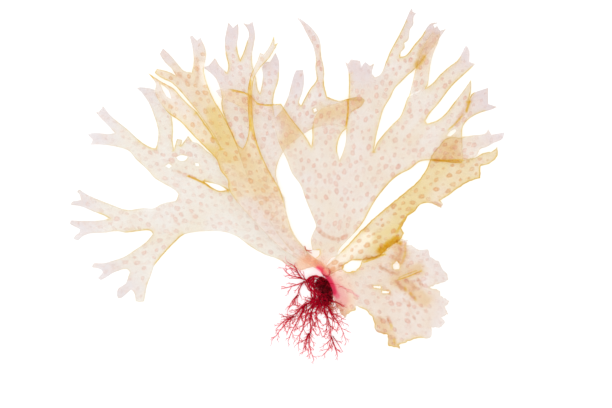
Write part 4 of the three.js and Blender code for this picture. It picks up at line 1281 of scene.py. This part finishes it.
# %% Lines that the main threads follow, from the knot to the last fork
MAIN_THREADS = [
    [(316, 284), (308, 280.5), (300, 278), (295, 276.5), (290, 275.5), (285, 271), (283, 268)],
    [(301, 278.5), (297.5, 271), (293, 268), (289, 267.5), (286, 265)],
    [(298, 273), (295.5, 266), (291, 264.5), (287, 262)],
    [(316, 287), (308, 281.5), (301, 283), (295, 285.5), (289, 287), (281, 289)],
    [(304, 281), (300, 287.5), (297.5, 295), (296.5, 301), (298.5, 308)],
    [(297.5, 295), (293, 300), (290, 305), (287, 312)],
    [(318, 299), (311, 302), (305, 304), (299, 311), (292.5, 316), (287, 322), (279, 332), (272, 340)],
    [(305, 305), (301, 314), (297, 322), (291.5, 332), (288, 341)],
    [(319, 300), (309, 308), (306, 318), (304, 326), (300, 335), (298, 347)],
    [(293, 316), (286, 319), (281, 324), (276, 329)],
    [(320, 301), (312, 309), (310, 320), (311, 330), (309, 339), (310, 349), (314, 360)],
    [(309, 333), (306, 342), (305, 351)], [(321, 302), (316, 312), (317, 321), (319, 328), (322, 336)],
    [(324, 303), (325, 312), (328.5, 319), (330.5, 328), (331, 338), (328.5, 349), (322, 356)],
    [(331, 336), (334, 344), (337, 353)], [(327, 303), (331, 311), (335, 318), (339, 325)],
]
BARE_THREADS = [
    [(305, 280), (308, 277), (313, 275), (318, 276.5), (323, 280), (327, 287)],
    [(306, 281), (310, 278), (315, 277.5), (320, 281), (322, 288)],
    [(312, 277), (309, 283), (310, 290), (312, 297), (309, 303)],
    [(308, 279), (311, 286), (314, 294), (312, 302), (307, 307)],
    [(314, 276), (313, 284), (316, 291), (315, 300), (311, 308)],
    [(306, 281), (308, 287), (313, 292), (318, 297), (319, 306)],
    [(310, 296), (314, 301), (320, 304), (322, 312)], [(318, 299), (312, 303), (306, 305), (301, 309)],
    [(326, 296), (332, 301), (338, 302), (343, 306)],
]
# The first is a faint pink thread; the second is a thread that stands in for a line of shade beside it, a
# painted shadow
FAINT_THREAD_AND_PAINTED_SHADOW = [
    [(326, 283), (334, 283.5), (341, 286), (350, 291), (359, 297)], [(338, 287), (344, 289), (352, 294)],
]
CRUMBS = [[(304.5, 246), (306, 250), (309, 251.5), (312, 252.5)], [(306, 251), (309, 249.5), (311.5, 250)]]

# %% Height of what lies under a thread
PATH_PITCH = 0.45
FEELERS = ((0, 0), (0.6, 0), (-0.6, 0), (0, 0.6), (0, -0.6))
fronds_tree = frame_tree(*[node for node, _, _ in PLAN.values()])


def ground_under(x, y, radius):
    """Height of a thread's middle where it lies on the floor or on a membrane."""
    top = 0.0
    for dx, dy in FEELERS:
        hit = fronds_tree.ray_cast(Vector((x + dx, y + dy, RAY_START)), Vector((0, 0, -1.0)))[0]
        top = max(top, hit.z - CAD_BLADE / 2 + FILM_MARGIN / 2 if hit else 0.0)
    return top + radius


def laid_path(places, radius, rng, waver=0.14, lift=0.0):
    """A smooth path through places on the plan, laid on whatever is under it."""
    line = np.array(places, float)
    run = run_along(line)
    at = np.linspace(0, run[-1], max(3, int(run[-1] / PATH_PITCH) + 1))
    x, y = places_at(line, run, at).T
    for values in (x, y):
        values[1:-1] = (values[:-2] + 2 * values[1:-1] + values[2:]) / 4
    phase = rng.uniform(0, 50)
    ease = np.minimum(1, at / 0.8)
    x, y = (
        values + waver * ease * np.array([noise.noise(Vector((phase, a * 0.6, level))) for a in at])
        for values, level in ((x, 1.0), (y, 7.0))
    )
    z = np.array([ground_under(a, b, radius) for a, b in zip(x, y)]) + lift * np.exp(-at / 2.5)
    z = np.maximum(z, np.maximum(np.roll(z, 1), np.roll(z, -1)) * 0.7)
    return [Vector(p) for p in zip(x, y, z)]


# %% Grow the side threads
YOUNG_RADIUS = 0.075
NODE_PITCH = (0.9, 1.2, 1.8)  # distance between side threads, for the last rank to the first
MAIN_RANK = 2
MAIN_LIFT = 1.2
THREAD_TURN = 0.72
TURN_BACK = 0.17
AGE_DROP = (0.2, 0.25, 0.55)
BARE_SHARE = 0.2  # a main thread has no side threads up to this share of its length
MISSING = 0.1  # the share of side threads that are missing
THINNER = 0.66


def zigzag(start, heading, length, pitch, rng):
    """A line that turns a little away from each side thread, and where those head."""
    line, turns, side = [np.array(start, float)], [], rng.choice((-1, 1))
    for _ in range(max(2, round(length / pitch))):
        heading += -TURN_BACK * side + rng.gauss(0, 0.07)
        stride = min(pitch, length / 2) * rng.uniform(0.8, 1.2)
        line.append(line[-1] + stride * toward(heading))
        turns.append((heading, side))
        side = -side
    return line, turns


def along_drawing(places, rng):
    """The same for a main thread, which follows its drawn line."""
    drawn = on_plan(places)
    run = run_along(drawn)
    line = places_at(drawn, run, np.linspace(0, run[-1], max(3, round(run[-1] / NODE_PITCH[MAIN_RANK]))))
    ahead = np.gradient(line, axis=0)
    turns, side = [], rng.choice((-1, 1))
    for i in range(1, len(line)):
        turns.append((math.atan2(ahead[i][1], ahead[i][0]), side))
        side = -side
    return list(line), turns


def side_length(rank, total, share):
    """How long a side thread is that leaves at this share of a thread."""
    if rank == MAIN_RANK:
        return min(5.0, 1.6 + 0.36 * total * (1 - share))
    return 0.8 + 0.4 * total * (1 - share)


def spray(threads, line, turns, radius, age, rank, rng):
    """One thread with its side threads, and theirs."""
    tip_radius, tip_age = max(YOUNG_RADIUS, radius * 0.4), max(0.0, age - AGE_DROP[rank])
    path = laid_path(line, radius, rng, lift=MAIN_LIFT if rank == MAIN_RANK else 0.0)
    threads.add(path, radius, tip_radius, age, tip_age)
    if rank == 0:
        return
    for n, (heading, side) in enumerate(turns, start=1):
        share = n / len(turns)
        if (rank == MAIN_RANK and share < BARE_SHARE) or rng.random() < MISSING:
            continue
        length = side_length(rank, NODE_PITCH[rank] * len(turns), share)
        turn = heading + side * THREAD_TURN * rng.uniform(0.7, 1.2)
        branch = zigzag(line[n], turn, length * rng.uniform(0.7, 1.2), NODE_PITCH[rank - 1], rng)
        here = max(YOUNG_RADIUS, (radius + (tip_radius - radius) * share) * THINNER)
        spray(threads, *branch, here, age + (tip_age - age) * share, rank - 1, rng)


# %% Thread material
THREAD_TONES = [  # from young to old
    (0.0, (246, 170, 176)), (0.28, (236, 84, 104)), (0.5, (226, 26, 66)), (0.75, (184, 0, 34)),
    (1.0, (64, 0, 2)),
]
OLD_BROWN = (222, 132, 92)


def thread_material():
    graph = Graph("crimson_threads")
    # age: how old a thread is; on the knot's threads it also holds painted shade, darker to the right
    age = graph.attribute("age")
    shift = graph.times(graph.less(graph.mottle(800.0), 0.5, clamp=False), 0.3, clamp=False)
    ramp = graph.add("ShaderNodeValToRGB", Fac=graph.plus(age, shift))
    stops = ramp.color_ramp.elements
    for number, (place, rgb) in enumerate(THREAD_TONES):
        stop = stops[number] if number < 2 else stops.new(place)
        stop.position = place
        stop.color = opaque(rgb)
    tone = graph.blend(graph.attribute("brown"), ramp.outputs[0], opaque(OLD_BROWN))
    flesh = graph.add("ShaderNodeBsdfPrincipled", Base_Color=tone, Roughness=0.5)
    flesh.inputs["Specular IOR Level"].default_value = 0.06
    tint = graph.add("ShaderNodeGamma", Color=tone, Gamma=0.4).outputs[0]
    return graph.finish_clear(tint, flesh, graph.plus(graph.times(age, 0.6), 0.12))


# %% The sprays
LOWER_END = 295  # threads that start below this grid row come out of the knot's lower end
TWINS = 2  # thinner, shorter threads beside each of those
OLD_RADIUS = 0.32
OLD_AGE = 0.8
crimson = thread_material()
rng = random.Random(23)
sprays = Threads()
for places in MAIN_THREADS:
    spray(sprays, *along_drawing(places, rng), OLD_RADIUS * rng.uniform(0.75, 1.0), OLD_AGE, MAIN_RANK, rng)
    for _ in range(TWINS if places[0][1] >= LOWER_END else 0):
        shift = np.array([rng.gauss(0, 3.2), rng.gauss(0, 1.5)])
        twin = [tuple(np.array(place) + shift * (0.4 + 0.5 * n)) for n, place in enumerate(places)]
        twin = twin[:max(3, round(len(twin) * rng.uniform(0.35, 0.7)))]
        spray(sprays, *along_drawing(twin, rng), OLD_RADIUS * rng.uniform(0.5, 0.8), OLD_AGE, MAIN_RANK, rng)
for places in BARE_THREADS:
    for _ in range(2):
        drawn = on_plan(places) + np.array([rng.gauss(0, 0.3), rng.gauss(0, 0.3)])
        path = laid_path(drawn, 0.16, rng, waver=0.5, lift=rng.uniform(0.4, 2.2))
        sprays.add(path, rng.uniform(0.2, 0.32), 0.14, rng.uniform(0.55, 0.75), rng.uniform(0.4, 0.6))
# a faint thread, and a painted shadow line made as a thread
for places in FAINT_THREAD_AND_PAINTED_SHADOW:
    sprays.add(laid_path(on_plan(places), 0.09, rng, waver=0.8), 0.1, 0.05, 0.22, 0.05)
tuft = sprays.piece("tuft_threads", crimson)
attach(tuft, "root")
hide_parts("red_tuft")
print("tuft faces:", len(sprays.faces))

# %% [markdown]
# ## The knot
# At the root the threads are matted into a dark knot that leans along the foot. It is a lumpy
# core, nearly black, with many short curled threads wound through and around it. Each one
# walks along its own curl and turns back when it would leave the knot. The knot's threads are
# painted darker towards its right side and redder on its left, where light reaches them: a
# painted shade. Loose ones hang out of its lower end, and brown old ones curl over the membrane
# beside it.

# %% The shape of the knot and of its core
KNOT = (324, 291)
KNOT_SIZE = (2.6, 5.0, 3.5)
KNOT_LEAN = 0.33
CORE_ROWS = 9
CORE_SIDES = 26
CORE_SHARE = 0.86  # the height of the core in the knot's
CORE_FLOOR = 0.05
knot_middle = on_plan([KNOT])[0]


def turned(across, along, angle):
    """A place on the plan turned about the origin."""
    cos, sin = math.cos(angle), math.sin(angle)
    return np.array([across * cos - along * sin, across * sin + along * cos])


def from_knot(across, along):
    """Knot coordinates to the plan."""
    return knot_middle + turned(across, along, KNOT_LEAN)


def lofted(rings, low, top):
    """A closed skin over rings of points, with a middle point below them and one above."""
    sides, last = len(rings[0]), (len(rings) - 1) * len(rings[0])
    vertices = [place for ring in rings for place in ring] + [low, top]
    faces = []
    for k in range(sides):
        n = (k + 1) % sides
        faces += [(last + sides, n, k), (last + sides + 1, last + k, last + n)]
        faces += [(row + k, row + n, row + n + sides, row + k + sides) for row in range(0, last, sides)]
    return vertices, faces


def knot_core():
    """A low lumpy heap."""
    rings = []
    for row in range(CORE_ROWS):
        lift = row / CORE_ROWS
        ring = []
        for k in range(CORE_SIDES):
            turn = 2 * math.pi * k / CORE_SIDES
            lump = 0.78 + 0.2 * noise.noise(Vector((2.2 * math.cos(turn), 2.2 * math.sin(turn), 3 * lift)))
            share = lump * math.sqrt(max(0.0, 1 - lift ** 2))
            place = from_knot(share * KNOT_SIZE[0] * math.cos(turn), share * KNOT_SIZE[1] * math.sin(turn))
            ring.append((*place, CORE_FLOOR + lift * KNOT_SIZE[2] * CORE_SHARE))
        rings.append(ring)
    return lofted(rings, (*knot_middle, CORE_FLOOR), (*knot_middle, KNOT_SIZE[2] * CORE_SHARE))


# %% Ways that the knot's threads take
KNOT_STRIDE = 0.5


def knot_walk(rng):
    """A curled path in the knot, and how far to its right it ends."""
    turn, rise = rng.uniform(0, 2 * math.pi), rng.uniform(-0.5, 0.5)
    spin = rng.uniform(0.12, 0.6) * rng.choice((-1, 1))
    edge = rng.uniform(0.95, 1.4)
    reach, start = rng.uniform(0.3, 1.1), rng.uniform(0, 2 * math.pi)
    across, along = reach * KNOT_SIZE[0] * math.cos(start), reach * KNOT_SIZE[1] * math.sin(start)
    height = rng.uniform(0.3, KNOT_SIZE[2] * math.sqrt(max(0.05, 1.1 - reach ** 2)))
    path = []
    for _ in range(rng.randint(8, 15)):
        path.append(Vector((*from_knot(across, along), height)))
        turn += spin
        rise *= -0.7
        across += KNOT_STRIDE * math.cos(turn)
        along += KNOT_STRIDE * math.sin(turn)
        out = math.hypot(across / KNOT_SIZE[0], along / KNOT_SIZE[1])
        limit = min(edge, 1.2) if across > 0 else edge
        if out > limit:
            across, along = across * limit / out, along * limit / out
        roof = KNOT_SIZE[2] * math.sqrt(max(0.04, 1.05 - min(out, 1.0) ** 2))
        height = min(max(height + KNOT_STRIDE * math.sin(rise), 0.25), roof)
    return path, across / KNOT_SIZE[0]


def curl(start, heading, length, spin, rng):
    """Places on the plan along a thread that curls more and more."""
    line = [np.array(start, float)]
    for _ in range(max(3, int(length / KNOT_STRIDE))):
        heading += spin + rng.gauss(0, 0.12)
        line.append(line[-1] + KNOT_STRIDE * toward(heading))
    return line


# %% Wind the knot, and let loose threads out of it
KNOT_THREADS = 300
KNOT_LEFT = 0.4  # the share of the threads on the left side that are kept, where the knot is open
LOOSE_THREADS = 46
BROWN_THREADS = 24
BROWNNESS = 0.7
knot = Threads()
for _ in range(KNOT_THREADS):
    path, side = knot_walk(rng)
    if side < -0.15 and rng.random() > KNOT_LEFT:
        continue
    radius = rng.uniform(0.1, 0.24)
    # painted shade: a thread is made older, and so darker, the further to the knot's right it ends
    shaded_age = min(1.0, 0.84 + 0.3 * side + rng.uniform(-0.16, 0.16))
    knot.add(path, radius, radius * 0.6, shaded_age, shaded_age - rng.uniform(0.0, 0.25))
for _ in range(LOOSE_THREADS):
    place = from_knot(rng.uniform(-1.3, 0.9) * KNOT_SIZE[0], rng.uniform(-1.05, -0.3) * KNOT_SIZE[1])
    line = curl(place, -math.pi / 2 + rng.gauss(-0.25, 0.5), rng.uniform(2.5, 6.5), rng.gauss(0, 0.16), rng)
    radius = rng.uniform(0.1, 0.19)
    path = laid_path(line, radius, rng, lift=rng.uniform(0.3, 2.4))
    knot.add(path, radius, 0.08, rng.uniform(0.6, 0.85), rng.uniform(0.35, 0.55))
red_count = len(knot.vertices)
for _ in range(BROWN_THREADS):
    place = on_plan([(rng.uniform(326, 341), rng.uniform(301, 311))])[0]
    heading, length = rng.uniform(-0.9, 0.5), rng.uniform(1.5, 4.0)
    line = curl(place, heading, length, rng.choice((-1, 1)) * rng.uniform(0.15, 0.5), rng)
    path = laid_path(line, 0.1, rng, lift=rng.uniform(0.2, 1.4))
    knot.add(path, rng.uniform(0.1, 0.16), 0.06, rng.uniform(0.6, 0.9), 0.5)
for places in CRUMBS:
    path = laid_path(on_plan(places), 0.15, rng, waver=0.5)
    top = max(point.z for point in path)
    knot.add([Vector((p.x, p.y, top)) for p in path], 0.26, 0.15, 0.85, 0.7)
knot.brown = [0.0] * red_count + [BROWNNESS] * (len(knot.vertices) - red_count)
knot_piece = knot.piece("tuft_knot_threads", crimson)
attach(knot_piece, "root")
core_vertices, core_faces = knot_core()
core = mesh_object("tuft_core", core_vertices, core_faces, crimson, {"age": [1.0] * len(core_vertices)})
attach(core, "root")
print("knot faces:", len(knot.faces), "core faces:", len(core_faces))

# %% [markdown]
# ## The stipe
# The stipe is a short stalk on a flat round foot. It flattens towards its top into a narrow
# ridge that leans down to the tuft, and the fronds run into its sides one above the other.
# It is lofted from oval rings of points with shallow flutes where the fronds leave it. The
# upper side, where they leave it, is salmon, and the rest is crimson.

# %% Stipe
STIPE_RINGS = [  # half length, half width and height of each ring
    (1.95, 1.95, 0.0), (1.85, 1.7, 0.5), (1.75, 1.3, 1.3), (1.7, 1.0, 2.4), (1.7, 0.85, 3.4), (1.5, 0.7, 4.2),
    (1.05, 0.5, 4.55),
]
STIPE_TOP = 4.7
STIPE_HEADING = math.radians(-60)
STIPE_SIDES = 40
FLUTES = 6
FLUTE_DEPTH = 0.05
UPPER_TOP = 0.9  # how salmon the very top is
DEEP_CRIMSON = (206, 4, 56)
CRIMSON_BLOOM = (224, 46, 84)
SALMON_NECK = (238, 160, 142)


def stipe_material():
    graph = Graph("crimson_stipe")
    cloud = graph.mottle(420.0)
    tone = graph.blend(cloud, opaque(DEEP_CRIMSON), opaque(CRIMSON_BLOOM))
    tone = graph.blend(graph.attribute("upper"), tone, opaque(SALMON_NECK))
    normal = graph.bump(cloud, 0.3, 0.0003)
    flesh = graph.add("ShaderNodeBsdfPrincipled", Base_Color=tone, Roughness=0.4, Normal=normal)
    flesh.inputs["Specular IOR Level"].default_value = 0.2
    return graph.finish(flesh.outputs["BSDF"])


def stipe_rings():
    """The rings of the stipe, and how far up the fronds' side each point is."""
    rings, upper = [], []
    for half_length, half_width, height in STIPE_RINGS:
        ring = []
        for k in range(STIPE_SIDES):
            turn = 2 * math.pi * k / STIPE_SIDES
            flute = 1 + FLUTE_DEPTH * (math.cos(FLUTES * turn + 0.5 * height) - 1)
            along, across = half_length * flute * math.cos(turn), half_width * flute * math.sin(turn)
            ring.append((*turned(along, across, STIPE_HEADING), height))
            upper.append(float(eased(0.35 * height - 1.4 * along / half_length, -0.4, 1.0)))
        rings.append(ring)
    return rings, upper + [0.0, UPPER_TOP]


rings, upper = stipe_rings()
stipe_vertices, stipe_faces = lofted(rings, (0, 0, 0), (0, 0, STIPE_TOP))
stipe = mesh_object("stipe_stalk", stipe_vertices, stipe_faces, stipe_material(), {"upper": upper})
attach(stipe, "root")
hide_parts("stipe")
print("stipe faces:", len(stipe_faces))
